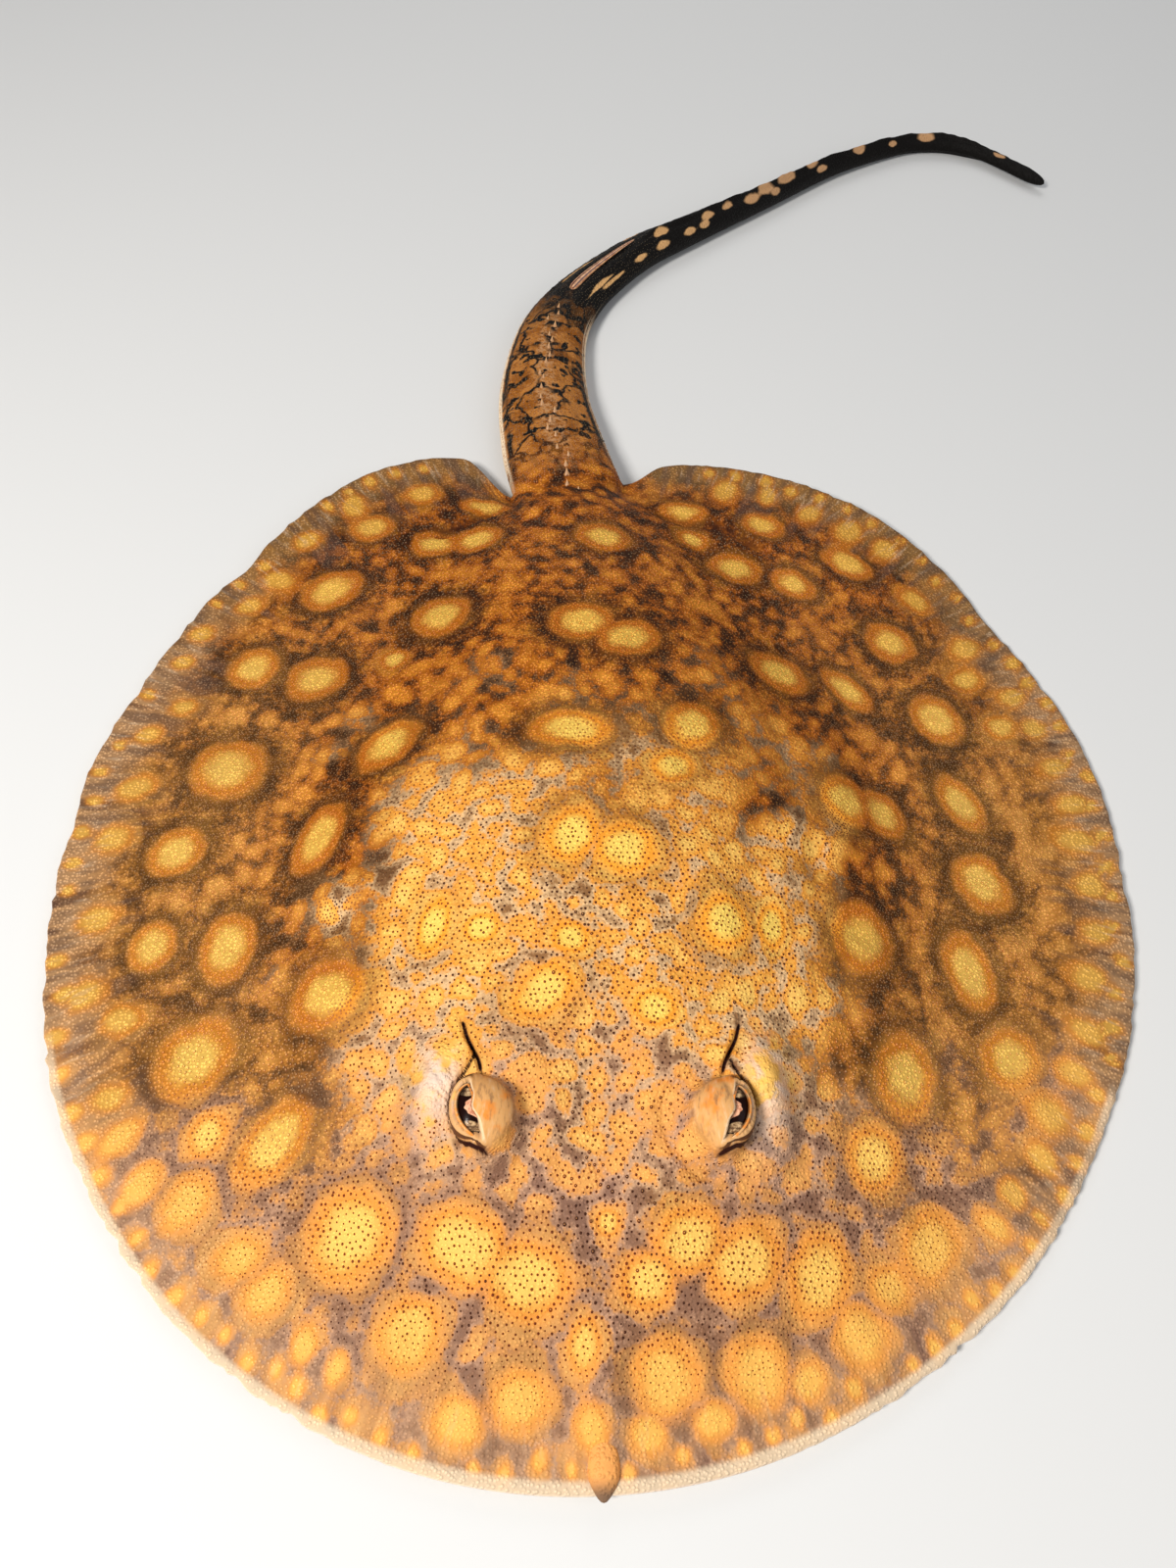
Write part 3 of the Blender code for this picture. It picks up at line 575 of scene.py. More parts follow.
# The columns of the skin's grids by their turn round the pole: first those across the tail's root,
# then all others, with the distance of each to the last ring, a ragged margin, and the two half
# rings of the tail's root
def skinColumns():
    across, side = skinGrid["rootColumns"], skinGrid["sideAngle"]
    columns = across + skinGrid["otherColumns"]
    angles = np.linspace(side, math.pi - side, across + 1)
    station = np.full(across + 1, tail["rootStation"])
    upperRoot, lowerRoot = tailPlace(station, angles), tailPlace(station, -angles)
    rootTurns = turnOf(upperRoot[:, 0], upperRoot[:, 1])
    turns = np.concatenate([rootTurns[:-1], columnTurns(rootTurns[0], rootTurns[-1])[:-1]])
    column = np.arange(columns)
    fromRoot = np.minimum(column - across, columns - column)
    rootReach = np.hypot(upperRoot[:, 0], upperRoot[:, 1] - disc["poleY"])
    nearestRoot = np.where(column - across < columns - column, rootReach[-1], rootReach[0])
    ragged = np.zeros(columns)
    for size, length, seed in skinGrid["ragged"]:
        ragged += size * np.abs(ripples(turns * skinGrid["raggedReach"] * mm, 0 * turns, length, seed))
    ragged *= smoothStep(0.35, 0.9, angleFrom(turns, 0)) * smoothStep(8, 20, fromRoot)
    margin = marginDistance(turns) - disc["edgeHalf"]
    distance = blendOf(nearestRoot, margin - ragged, smoothStep(0, 9, fromRoot))
    distance[: across + 1] = rootReach
    return {"across": across, "columns": columns, "angles": angles, "turns": turns, "distance": distance,
            "upperRoot": upperRoot, "lowerRoot": lowerRoot, "half": disc["edgeHalf"] - coatDepth,
            "shares": ringShares(skinGrid["upperSteps"], skinGrid["upperRings"]),
            "rimColumns": np.concatenate([np.arange(across, columns), [0]])}


# The upper grid, from the pole to the margin or the tail's root, with the eyes; its points, its marks and
# the lengths along the skin from the pole
def upperSide(plan):
    root = slice(0, plan["across"] + 1)
    rest = slice(plan["across"] + 1, None)
    turns, shares = plan["turns"], plan["shares"][1:]
    pole = [0, disc["poleY"], skinTop(np.zeros(1), np.full(1, disc["poleY"]))[0][0]]
    reach = shares[:, None] * plan["distance"][None, :]
    x, y = gatherAtEyes(reach * np.sin(turns), disc["poleY"] - reach * np.cos(turns))
    z, (crease, creaseShade) = skinTop(x, y)
    rootReach = plan["distance"][root]
    toRoot = smoothStep(rootReach - 13 * mm, rootReach, reach[:, root])
    z[:, root] = blendOf(z[:, root], plan["upperRoot"][:, 2], toRoot)
    plan["edgeLevel"] = marginLevel(np.arctan2(x[-1], -y[-1]))
    edgeTop = (plan["edgeLevel"] + plan["half"])[rest]
    z[-1, rest] = edgeTop
    z[:, rest] = blendOf(z[:, rest], edgeTop, smoothStep(0.93, 1, shares)[:, None])
    x[-1, root], y[-1, root], z[-1, root] = plan["upperRoot"].T
    plan["edge"] = np.stack([x[-1], y[-1]], axis=-1)
    grid = np.stack([x, y, z], axis=-1)
    points, marks = shapeEyes(np.vstack([[pole], grid.reshape(-1, 3)]))
    marks["crease"] = np.concatenate([[5], crease.ravel()])
    marks["creaseShade"] = np.concatenate([[0], creaseShade.ravel()])
    steps = np.diff(grid, axis=0, prepend=[[pole] * plan["columns"]])
    return points, marks, np.cumsum(np.linalg.norm(steps, axis=-1), axis=0)


# The rows of the rim between the upper and the lower grid, ending on the sides of the tail's root
def rimSide(plan):
    columns, steps = plan["rimColumns"], skinGrid["rimSteps"]
    out = np.stack([np.sin(plan["turns"]), -np.cos(plan["turns"])], axis=-1)[columns]
    rim = np.zeros((steps - 1, len(columns), 3))
    for k in range(steps - 1):
        turn = math.pi * (0.5 - (k + 1) / steps)
        rim[k, :, :2] = plan["edge"][columns] + out * plan["half"] * math.cos(turn)
        rim[k, :, 2] = plan["edgeLevel"][columns] + plan["half"] * math.sin(turn)
        sideTurn = skinGrid["sideAngle"] * (1 - 2 * (k + 1) / steps)
        rim[k, [0, -1]] = tailPlace(np.full(2, tail["rootStation"]), np.array([math.pi - sideTurn, sideTurn]))
    return rim


# The lower grid, from the belly's pole to the margin, then the pole itself; and the painted shade in its
# slits
def lowerSide(plan):
    root = slice(0, plan["across"] + 1)
    rest = slice(plan["across"] + 1, None)
    shares = ringShares(skinGrid["lowerSteps"], skinGrid["lowerRings"])[1:]
    end = plan["edge"].copy()
    end[root] = plan["lowerRoot"][:, :2]
    x, y = np.moveaxis(bellyPole + shares[:, None, None] * (end - bellyPole), -1, 0)
    press, slitShade = soleRelief(x, y)
    share, _ = finShare(x, y)
    z = bellyHeight(x, y) + blendOf(soleLift, coatDepth, smoothStep(0.85, 1, share)) + np.maximum(press, 0)
    z[:, root] = blendOf(soleLift, plan["lowerRoot"][:, 2], smoothStep(0.93, 1, shares)[:, None])
    z[-1, rest] = (plan["edgeLevel"] - plan["half"])[rest]
    z[-1, root] = plan["lowerRoot"][:, 2]
    points = np.vstack([np.stack([x, y, z], axis=-1).reshape(-1, 3), [[*bellyPole, soleLift]]])
    return points, slitShade.ravel()


# The tail as closed rings: the points with the tip last, their lengths along it and angles
def tailSide(plan):
    root, rows, steps = tail["rootStation"], skinGrid["tailRows"], skinGrid["rimSteps"]
    t = np.linspace(0, 1, rows + 1)[1:-1]
    along = root + (tailTotal - root) * (1 - (1 - t) ** 1.12)
    beside = skinGrid["sideAngle"] * (2 * np.arange(1, steps) / steps - 1)
    ring = np.concatenate([plan["angles"], math.pi + beside, 2 * math.pi - plan["angles"][::-1],
                           2 * math.pi + beside])
    along = np.append(np.repeat(along, len(ring)), tailTotal)
    angle = np.append(np.tile(ring, rows - 1), math.pi / 2)
    return tailPlace(along, angle), along, angle, ring


# One closed skin: the grids share the points of their edges
def buildSkin():
    plan = skinColumns()
    across, columns, turns, rimColumns = (plan[name] for name in ("across", "columns", "turns", "rimColumns"))
    upper, marks, arc = upperSide(plan)
    print("skin: upper side")
    rim = rimSide(plan)
    lower, slitShade = lowerSide(plan)
    print("skin: rim and lower side")
    tailPoints, along, angle, ring = tailSide(plan)
    print("skin: tail")
    points = np.vstack([upper, rim.reshape(-1, 3), lower, tailPoints])
    count = len(points)
    rimStart = len(upper)
    lowerStart = rimStart + rim.shape[0] * rim.shape[1]
    tailStart = lowerStart + len(lower)
    lowerPole, tipNumber = tailStart - 1, count - 1

    upperIndex = np.arange(1, rimStart).reshape(-1, columns)
    rimIndex = np.arange(rimStart, lowerStart).reshape(rim.shape[:2])
    lowerIndex = np.arange(lowerStart, lowerPole).reshape(-1, columns)
    rootRing = np.concatenate([upperIndex[-1, : across + 1], rimIndex[:, 0], lowerIndex[-1, across::-1],
                               rimIndex[::-1, -1]])
    tailIndex = np.vstack([rootRing, np.arange(tailStart, tipNumber).reshape(-1, len(ring))])
    rimRows = np.vstack([upperIndex[-1][rimColumns], rimIndex, lowerIndex[-1][rimColumns]])
    groups = [("top", quads(upperIndex)), ("top", quads(rimRows, False)), ("sole", quads(lowerIndex[::-1])),
              ("tail", quads(tailIndex)), ("top", fan(0, upperIndex[0])),
              ("sole", fan(lowerPole, lowerIndex[0])), ("tail", fan(tipNumber, tailIndex[-1]))]

    def spreadOut(values, start, fill=0.0):
        full = np.full(count, fill)
        full[start:start + len(values)] = values
        return full

    marks = {name: spreadOut(values, 0, 5.0 if name in ("slit", "crease") else 0.0)
             for name, values in marks.items()}
    # The painted shade of the sole's slits joins that of the folds
    slits = spreadOut(slitShade, lowerStart)
    marks["crease"] = np.minimum(marks["crease"], 5 - 5 * slits)
    marks["creaseShade"] = np.maximum(marks["creaseShade"], slits)
    marks["under"] = spreadOut(np.ones(len(lower)), lowerStart)
    marks["under"][rimStart:lowerStart] = np.repeat(skinGrid["rimUnder"], len(rimColumns))
    marks["tailAlong"], marks["tailAngle"] = spreadOut(along, tailStart), spreadOut(angle, tailStart)
    marks["tailAlong"][rootRing] = tail["rootStation"]
    marks["tailAngle"][rootRing] = ring

    disk = np.zeros((count, 2))  # the skin laid flat, each place at its length along the skin from the pole
    flat = np.stack([arc * np.sin(turns), -arc * np.cos(turns)], axis=-1)
    disk[1:rimStart] = flat.reshape(-1, 2)
    rimStretch = 1 + np.linspace(0.3, 0.9, len(rim))[:, None, None] * mm / 0.12
    disk[rimStart:lowerStart] = (flat[-1][rimColumns] * rimStretch).reshape(-1, 2)
    disk[lowerStart:] = points[lowerStart:, :2] - bellyPole
    print("skin: joined")
    return points, groups, marks, {"turns": turns, "shares": plan["shares"], "distance": plan["distance"],
                                   "index": upperIndex, "disk": disk}


# Four-cornered faces between the rows of a grid of point numbers, which runs round unless it is open
def quads(index, closed=True):
    a, b = index[:-1], index[1:]
    if closed:
        a, b = np.column_stack([a, a[:, :1]]), np.column_stack([b, b[:, :1]])
    return np.stack([a[:, :-1], b[:, :-1], b[:, 1:], a[:, 1:]], axis=-1).reshape(-1, 4)


# Three-cornered faces from one point to each pair of neighbours in a ring
def fan(pole, ring):
    return np.stack([np.full(len(ring), pole), ring, np.roll(ring, -1)], axis=1)


# The same, turned over
def backFan(pole, ring):
    return fan(pole, ring)[:, [0, 2, 1]]


# A mesh object from points and groups of faces, each group an array with three or four corners a row
def meshObject(name, points, faceGroups):
    mesh = bpy.data.meshes.new(name)
    corners = np.concatenate([group.ravel() for group in faceGroups]).astype(np.int32)
    sizes = np.concatenate([np.full(len(group), group.shape[1]) for group in faceGroups]).astype(np.int32)
    mesh.vertices.add(len(points))
    mesh.vertices.foreach_set("co", np.asarray(points, np.float32).ravel())
    mesh.loops.add(len(corners))
    mesh.loops.foreach_set("vertex_index", corners)
    mesh.polygons.add(len(sizes))
    mesh.polygons.foreach_set("loop_start", np.concatenate([[0], np.cumsum(sizes)[:-1]]).astype(np.int32))
    mesh.update(calc_edges=True)
    mesh.shade_smooth()
    made = bpy.data.objects.new(name, mesh)
    bpy.context.scene.collection.objects.link(made)
    return made


def faceOutward(made):
    bm = bmesh.new()
    bm.from_mesh(made.data)
    bmesh.ops.recalc_face_normals(bm, faces=bm.faces)
    if bm.calc_volume(signed=True) < 0:
        bmesh.ops.reverse_faces(bm, faces=bm.faces)
    openEdges = sum(1 for e in bm.edges if len(e.link_faces) != 2)
    print(made.name, len(bm.faces), "faces,", openEdges, "open edges")
    bm.to_mesh(made.data)
    bm.free()


# Stores a number for every point under each name, for the materials to read
def setMarks(made, marks):
    for name, values in marks.items():
        mark = made.data.attributes.new(name, "FLOAT", "POINT")
        mark.data.foreach_set("value", np.asarray(values, np.float32))


# The unwrap for baking, one place for every face corner
def setUnwrap(made, places):
    layer = made.data.uv_layers.new(name="OFBake")
    layer.data.foreach_set("uv", np.asarray(places, np.float32).ravel())


# The large ringed spots, listed in millimetres on the plan
spots = {  # (x, y, core radius, stretch, heading of the stretch in degrees, darkness of the ring)
    "leftFin": [
        (37, 77, 4.6, 1.25, -10, 0.9), (52, 73, 3.8, 1.5, -35, 0.9), (67.5, 81.5, 4.2, 1.6, -35, 1),
        (46, 94, 3.8, 1.5, -20, 0.9), (25, 98, 3.6, 1.7, -5, 0.8), (26.5, 87, 2.8, 1.3, -20, 0.7),
        (75, 55, 4.6, 1.2, -50, 1), (61.5, 38, 4.0, 2.0, -52, 0.9), (44, 39, 5.0, 1.2, -30, 0.9),
        (83, 31, 4.9, 1.2, -60, 1), (84, 7, 4.6, 1.75, -66, 0.9), (55, 2, 4.6, 1.15, 90, 0.9),
        (64, 1, 4.2, 1.3, -70, 0.9), (85, -14, 5.1, 1.25, -65, 1), (78, -35, 5.0, 1.7, -78, 0.9),
        (54, -32, 5.2, 1.1, 80, 0.9), (84, -54, 4.8, 1.1, 60, 0.6), (60, -59, 5.4, 1.35, 80, 0.8),
        (51.5, -75, 4.4, 1.2, 80, 0.6), (61, -90, 5.0, 1.3, 60, 0.4), (39, -96, 5.2, 1.3, 70, 0.45),
        (46, -105, 4.4, 1.1, 0, 0.4), (93, 45, 3.4, 1.3, 30, 0.45), (95, 55, 3.8, 1.3, 20, 0.4),
        (99, 30, 3.2, 1.3, 10, 0.5), (84, 70, 3.6, 1.4, -40, 0.55), (34, -33, 3.0, 1.7, 80, 0.3)],
    "rightFin": [
        (-83, 13, 6.0, 1.05, 0, 0.9), (-91, -8, 4.5, 1.15, 40, 0.9), (-76, -32, 4.9, 1.35, 80, 0.9),
        (-92, -31, 3.8, 1.25, 70, 0.9), (-79, -55, 5.8, 1.2, 55, 0.7), (-61, -72, 5.2, 1.7, 50, 0.65),
        (-76, -82, 4.0, 1.3, 60, 0.5), (-59, -9, 4.8, 1.75, 70, 1), (-53, -45, 5.2, 1.2, 40, 0.7),
        (-46, 13, 4.8, 1.4, 35, 1), (-66, 39, 5.2, 1.1, 60, 1), (-82, 43, 4.4, 1.1, 40, 0.9),
        (-66, 68, 5.0, 1.4, 32, 1), (-58, 90, 4.0, 1.25, 15, 0.9), (-45.5, 103, 3.6, 1.3, 0, 0.65),
        (-28, 97.5, 3.8, 2.2, -24, 0.9), (-41, 84, 3.9, 1.25, 15, 0.9), (-29.5, 83, 4.2, 1.25, -20, 0.9),
        (-74.5, 86, 3.4, 1.3, 20, 0.65), (-37, 53.5, 5.4, 1.15, -60, 1), (-47.5, 42, 2.6, 1.0, 0, 0.4),
        (-86.5, 64, 3.2, 1.3, 30, 0.6), (-97, 55, 2.9, 1.4, 15, 0.5), (-97, 32, 2.8, 1.3, 10, 0.4),
        (-100, 46, 2.6, 1.3, 10, 0.4), (-104, 24, 2.8, 1.3, 10, 0.45), (-104, 9, 3.4, 1.5, 20, 0.6),
        (-106, -4.5, 3.6, 1.2, 20, 0.35), (-105, -24, 3.6, 1.3, 10, 0.35), (-95, -47, 3.2, 1.3, 10, 0.35),
        (-94.5, -62.5, 3.0, 1.4, 20, 0.35), (-65, -92, 3.4, 1.2, 20, 0.3), (-32.5, -34, 3.4, 1.8, 78, 0.35)],
    "back": [
        (-3.5, 43, 5.0, 1.2, 10, 0.9), (7, 37.5, 4.8, 1.2, 20, 0.9), (-6, 9, 4.8, 1.8, 0, 0.9),
        (20, 12, 4.6, 1.2, 50, 0.8), (15, 0, 3.4, 1.3, 20, 0.45), (-6, -17, 4.4, 1.2, 60, 0.6),
        (5, -20, 4.6, 1.2, 0, 0.55), (-11, -49, 4.4, 1.5, 30, 0.35), (-6, -39, 2.8, 1.2, 0, 0.2),
        (24, -34, 4.2, 1.2, 80, 0.6), (2.5, 76, 4.4, 1.2, 0, 0.8), (10, -52, 3.0, 1.2, 0, 0.1),
        (-23, -36, 2.6, 1.2, 0, 0.2)],
    "front": [
        (-45, -89, 6.2, 1.05, 0, 0.7), (-59, -98, 3.6, 1.2, 40, 0.45), (-33, -105, 4.6, 1.1, 50, 0.5),
        (-24, -92, 5.6, 1.4, -25, 0.5), (-13, -97, 5.4, 1.2, -10, 0.5), (-14, -115, 4.2, 1.3, 10, 0.6),
        (-24, -118, 3.6, 1.1, 0, 0.45), (11, -112, 4.9, 1.05, 90, 0.8), (27, -111, 4.7, 1.05, 90, 0.8),
        (52, -97, 3.4, 1.1, 0, 0.4), (15, -91, 4.8, 1.3, 30, 0.5), (8, -97, 3.8, 1.2, 30, 0.4),
        (25, -94, 5.2, 1.4, 35, 0.5), (8, -120, 2.8, 1.0, 0, 0.4), (19, -118, 2.8, 1.2, 20, 0.4),
        (1, -88, 1.8, 1.0, 0, 0.1), (-74, -70, 3.2, 1.2, 50, 0.3), (36, -112, 2.8, 1.1, 20, 0.5),
        (-3, -107, 2.8, 1.6, 80, 0.3)],
}
coreShare = 0.85  # bright core within the listed radius
farOff = 9.0  # told as the distance where no spot is near


beadRows = (  # share of the way out, size in front and at the sides in mm, and the step along it in sizes
    (0.968, 1.4, 2.1, 3.8), (0.918, 2.5, 3.8, 2.9))


# Small pale spots in rows round the margin, smaller and closer in front; one that would
# touch a large spot is left out
def marginBeads():
    draw = np.random.default_rng(17)
    taken = [(x, y, radius * math.sqrt(stretch))
             for rows in spots.values() for x, y, radius, stretch, _, _ in rows]
    rows = []
    for share, front, side, step in beadRows:
        turn = -math.pi + 0.3 + draw.uniform(0, 0.1)
        while turn < math.pi - 0.25:
            size = blendOf(front, side, float(smoothStep(0.5, 1.1, abs(turn))))
            reach = float(discReach(np.array(turn))) / mm * (share + draw.uniform(-0.012, 0.012))
            x, y = reach * math.sin(turn), -reach * math.cos(turn)
            if all(math.hypot(x - tx, y - ty) > 1.45 * radius + 0.8 * size for tx, ty, radius in taken):
                heading = math.degrees(math.atan2(-math.cos(turn), math.sin(turn))) + draw.uniform(-15, 15)
                rows.append((x, y, size * draw.uniform(0.8, 1.15), draw.uniform(1.15, 1.7), heading, 0.2))
            turn += step * size / reach * draw.uniform(0.85, 1.15)
    return rows


spots["margin"] = marginBeads()
print("margin spots:", len(spots["margin"]))


# How far a place lies from the nearest ringed spot, in core radii, with that spot's ring: each spot is an
# ellipse, and its distance is the length of the offset after the stretch is taken out
def spotField(x, y):
    nearest, ring = np.full(x.shape, farOff), np.zeros(x.shape)
    for rows in spots.values():
        for sx, sy, radius, stretch, heading, dark in rows:
            turn = math.radians(heading)
            dx, dy = x - sx * mm, y - sy * mm
            core = radius * coreShare * mm
            along = (dx * math.cos(turn) + dy * math.sin(turn)) / (core * math.sqrt(stretch))
            across = (dy * math.cos(turn) - dx * math.sin(turn)) / (core / math.sqrt(stretch))
            ratio = np.hypot(along, across)
            closer = ratio < nearest
            nearest, ring = np.where(closer, ratio, nearest), np.where(closer, dark, ring)
    return nearest, ring


net = {
    "low": (-144 * mm, -150 * mm),
    "step": 1 * mm,
    "cells": 288,
    "rearStep": 4.3 * mm,  # closest that two small blotches lie
    "middleStep": 4.9 * mm,
    "frontStep": 7.4 * mm,
    "nestAt": 3.4 * mm,  # from a ring to the blotches round it
    "nestStep": 5.0 * mm,
    "tries": 14000,
    "joined": 0.22,  # share of neighbours that run into one
    "largest": 6 * mm,
}


# Middles of the small blotches: first in rings round every ringed spot, then anywhere far enough from those
# already set, so that they nest round the spots
def blotchCentres(ringed):
    draw = np.random.default_rng(23)
    tries = []
    for x, y, reach, stretch, turn in ringed:
        away = reach + net["nestAt"]
        count = int(2 * math.pi * away / net["nestStep"])
        around = draw.uniform(0, 2 * math.pi) + 2 * math.pi * np.arange(count) / count
        around = around + draw.uniform(-0.12, 0.12, count)
        along, across = np.cos(around) * away * stretch ** 0.35, np.sin(around) * away / stretch ** 0.5
        tries.append(np.stack([x + along * math.cos(turn) - across * math.sin(turn),
                               y + along * math.sin(turn) + across * math.cos(turn)], axis=1))
    tries.append(draw.uniform((-130 * mm, -130 * mm), (130 * mm, 122 * mm), (net["tries"], 2)))
    tries = np.vstack(tries)
    closest = blendOf(blendOf(net["rearStep"], net["middleStep"], smoothStep(22 * mm, -30 * mm, tries[:, 1])),
                      net["frontStep"], smoothStep(-75 * mm, -100 * mm, tries[:, 1]))
    wanted = closest * draw.uniform(0.8, 1.1, len(tries)) * 0.84
    kept = np.zeros((len(tries), 2))
    count = 0
    for place, step, gap in zip(tries, closest, wanted):
        if np.min(np.hypot(*(ringed[:, :2] - place).T) - ringed[:, 2]) < 0.42 * step:
            continue
        if count and np.min(np.hypot(*(kept[:count] - place).T)) < gap:
            continue
        kept[count] = place
        count += 1
    return kept[:count]


# Blotches in a net: each place goes to the nearest blotch, a ringed spot counting from its ring, and
# its value is how much nearer that one is than the next, in millimetres: none on the net's lines, most
# in the middle of a blotch. Some neighbours have no line between them, and the places are pushed about
# so that the lines wander
def growNet():
    ringed = np.array([(x * mm, y * mm, coreShare * radius * mm * (1.1 if kind == "margin" else 1.6), stretch,
                        math.radians(heading))
                       for kind, rows in spots.items() for x, y, radius, stretch, heading, _ in rows])
    small = blotchCentres(ringed)
    draw = np.random.default_rng(4)
    uneven = draw.uniform(-0.5, 0.5, len(small)) * mm
    cx, cy = np.vstack([ringed[:, :2], small]).T
    reach = np.concatenate([ringed[:, 2], uneven])
    stretch = np.sqrt(np.concatenate([ringed[:, 3], np.ones(len(small))]))
    turn = np.concatenate([ringed[:, 4], np.zeros(len(small))])
    x, y = np.meshgrid(net["low"][0] + net["step"] * np.arange(net["cells"]),
                       net["low"][1] + net["step"] * np.arange(net["cells"]), indexing="ij")
    px = x + 1.1 * mm * ripples(x, y, 9 * mm, 51, 14) + 0.5 * mm * ripples(x, y, 4 * mm, 61, 14)
    py = y + 1.1 * mm * ripples(x, y, 9 * mm, 52, 14) + 0.5 * mm * ripples(x, y, 4 * mm, 62, 14)
    field = np.zeros(x.shape)
    for row in range(net["cells"]):
        dx, dy = px[row][:, None] - cx, py[row][:, None] - cy
        along = (dx * np.cos(turn) + dy * np.sin(turn)) / stretch
        across = (dy * np.cos(turn) - dx * np.sin(turn)) * stretch
        away = np.hypot(along, across) - reach
        two = np.argpartition(away, 1, axis=1)[:, :2]
        values = np.take_along_axis(away, two, axis=1)
        gap = np.abs(values[:, 1] - values[:, 0])
        chance = np.mod(np.sin(two.min(axis=1) * 12.99 + two.max(axis=1) * 78.23) * 43758.5, 1)
        field[row] = np.where(chance < net["joined"], 0.35 * gap + 1.6 * mm, gap)
    field = np.minimum(field, net["largest"]) / mm
    for axis in (0, 1):
        field = 0.5 * field + 0.25 * (np.roll(field, 1, axis) + np.roll(field, -1, axis))
    return field


netField = growNet()
print("net grown")


# The net's value at any place: the grid read between its four nearest places
def netAt(x, y):
    step = net["step"]
    gx = np.clip((x - net["low"][0]) / step, 0, net["cells"] - 1.001)
    gy = np.clip((y - net["low"][1]) / step, 0, net["cells"] - 1.001)
    ix, iy = gx.astype(int), gy.astype(int)
    fx, fy = gx - ix, gy - iy
    near = blendOf(netField[ix, iy], netField[ix + 1, iy], fx)
    far = blendOf(netField[ix, iy + 1], netField[ix + 1, iy + 1], fx)
    return blendOf(near, far, fy)


tailSpots = (  # length along the tail in mm, angle round it in degrees, half length and half breadth in mm
    (117, 52, 9.0, 0.8), (124, 36, 6.0, 0.8), (121, 128, 8.0, 0.8), (139, 38, 3.2, 1.3), (150, 38, 3.2, 1.4),
    (162, 40, 2.6, 1.3), (169, 42, 2.2, 1.2), (152, 78, 3.4, 1.0), (172, 68, 2.8, 1.0), (181, 72, 2.6, 1.0),
    (192, 60, 3.6, 1.5), (200, 72, 3.6, 1.7), (203, 44, 2.4, 1.3), (210, 82, 4.2, 1.5), (223, 94, 3.0, 1.2),
    (227, 50, 2.6, 1.1), (246, 80, 2.8, 1.2), (261, 58, 1.6, 0.8), (275, 70, 3.0, 1.3), (289, 112, 1.5, 0.7),
    (304, 74, 2.3, 0.9), (144, 140, 3.4, 1.2), (157, 138, 2.8, 1.3), (171, 142, 2.6, 1.1),
    (186, 136, 3.0, 1.3), (206, 130, 2.8, 1.2), (234, 128, 2.6, 1.1), (257, 122, 2.2, 1.0))


# Pale blotches on the dark length of the tail, as ellipses of length by way round
def tailSpotField(along, angle):
    nearest = np.full(along.shape, farOff)
    width = tailSize(along)[0]
    for middle, degrees, length, breadth in tailSpots:
        across = (angle - math.radians(degrees)) * width / 2 / (breadth * mm)
        nearest = np.minimum(nearest, np.hypot((along - middle * mm) / (length * mm), across))
    return nearest


# A colour given as everyday 0 to 255 values, as the shader's linear ones
def tint(red, green, blue):
    parts = np.array([red, green, blue]) / 255
    return (*np.where(parts <= 0.04045, parts / 12.92, ((parts + 0.055) / 1.055) ** 2.4), 1)


# A value in a shader's tree of nodes. Sums, products and so on of such values add
# maths nodes to the same tree
class Wire:
    def __init__(self, socket):
        self.socket = socket

    def __add__(self, other):
        return maths("ADD", self, other)

    def __sub__(self, other):
        return maths("SUBTRACT", self, other)

    def __rsub__(self, other):
        return maths("SUBTRACT", other, self)

    def __mul__(self, other):
        return maths("MULTIPLY", self, other)

    def __rtruediv__(self, other):
        return maths("DIVIDE", other, self)

    def __abs__(self):
        return maths("ABSOLUTE", self)


def treeOf(*values):
    return next(value.socket.id_data for value in values if isinstance(value, Wire))


# Gives each socket its value: a wire is linked, anything else is set on the socket itself
def feed(sockets, values):
    for name, value in values.items():
        if isinstance(value, Wire):
            treeOf(value).links.new(value.socket, sockets[name])
        else:
            sockets[name].default_value = value


def addNode(tree, kind, inputs=None, output=0, **settings):
    node = tree.nodes.new(kind)
    for name, value in settings.items():
        setattr(node, name, value)
    feed(node.inputs, inputs or {})
    return Wire(node.outputs[output])


def maths(operation, a, b=0.0):
    return addNode(treeOf(a, b), "ShaderNodeMath", {0: a, 1: b}, operation=operation)


def vectorMaths(operation, a, inputs):
    return addNode(treeOf(a), "ShaderNodeVectorMath", {0: a, **inputs}, operation=operation)


# 0 to 1 as a value goes from low to high, or back where low is the larger, rounded at both ends
def rise(value, low, high):
    return addNode(treeOf(value), "ShaderNodeMapRange", {"Value": value, "From Min": low, "From Max": high},
                   "Result", interpolation_type="SMOOTHSTEP")


def mixed(share, a, b, how="MIX"):
    node = treeOf(share, a, b).nodes.new("ShaderNodeMix")
    node.data_type, node.blend_type = "RGBA", how
    feed(node.inputs, {"Factor": share})
    feed({socket.name: socket for socket in node.inputs if socket.type == "RGBA"}, {"A": a, "B": b})
    return Wire(next(socket for socket in node.outputs if socket.type == "RGBA"))


def attributes(tree, *names):
    return [addNode(tree, "ShaderNodeAttribute", output="Fac", attribute_name=name) for name in names]


def noise(place, scale, detail=2.0, rough=0.55, output="Fac"):
    return addNode(treeOf(place), "ShaderNodeTexNoise",
                   {"Vector": place, "Scale": scale, "Detail": detail, "Roughness": rough}, output)


def cells(place, scale, random, feature):
    return addNode(treeOf(place), "ShaderNodeTexVoronoi",
                   {"Vector": place, "Scale": scale, "Randomness": random}, "Distance", feature=feature)


# A place pushed about by smooth noise, so that cells and spots get uneven edges
def wobbled(place, scale, size):
    shift = vectorMaths("SUBTRACT", noise(place, scale, output="Color"), {1: (0.5, 0.5, 0.5)})
    return vectorMaths("ADD", place, {1: vectorMaths("SCALE", shift, {"Scale": size})})


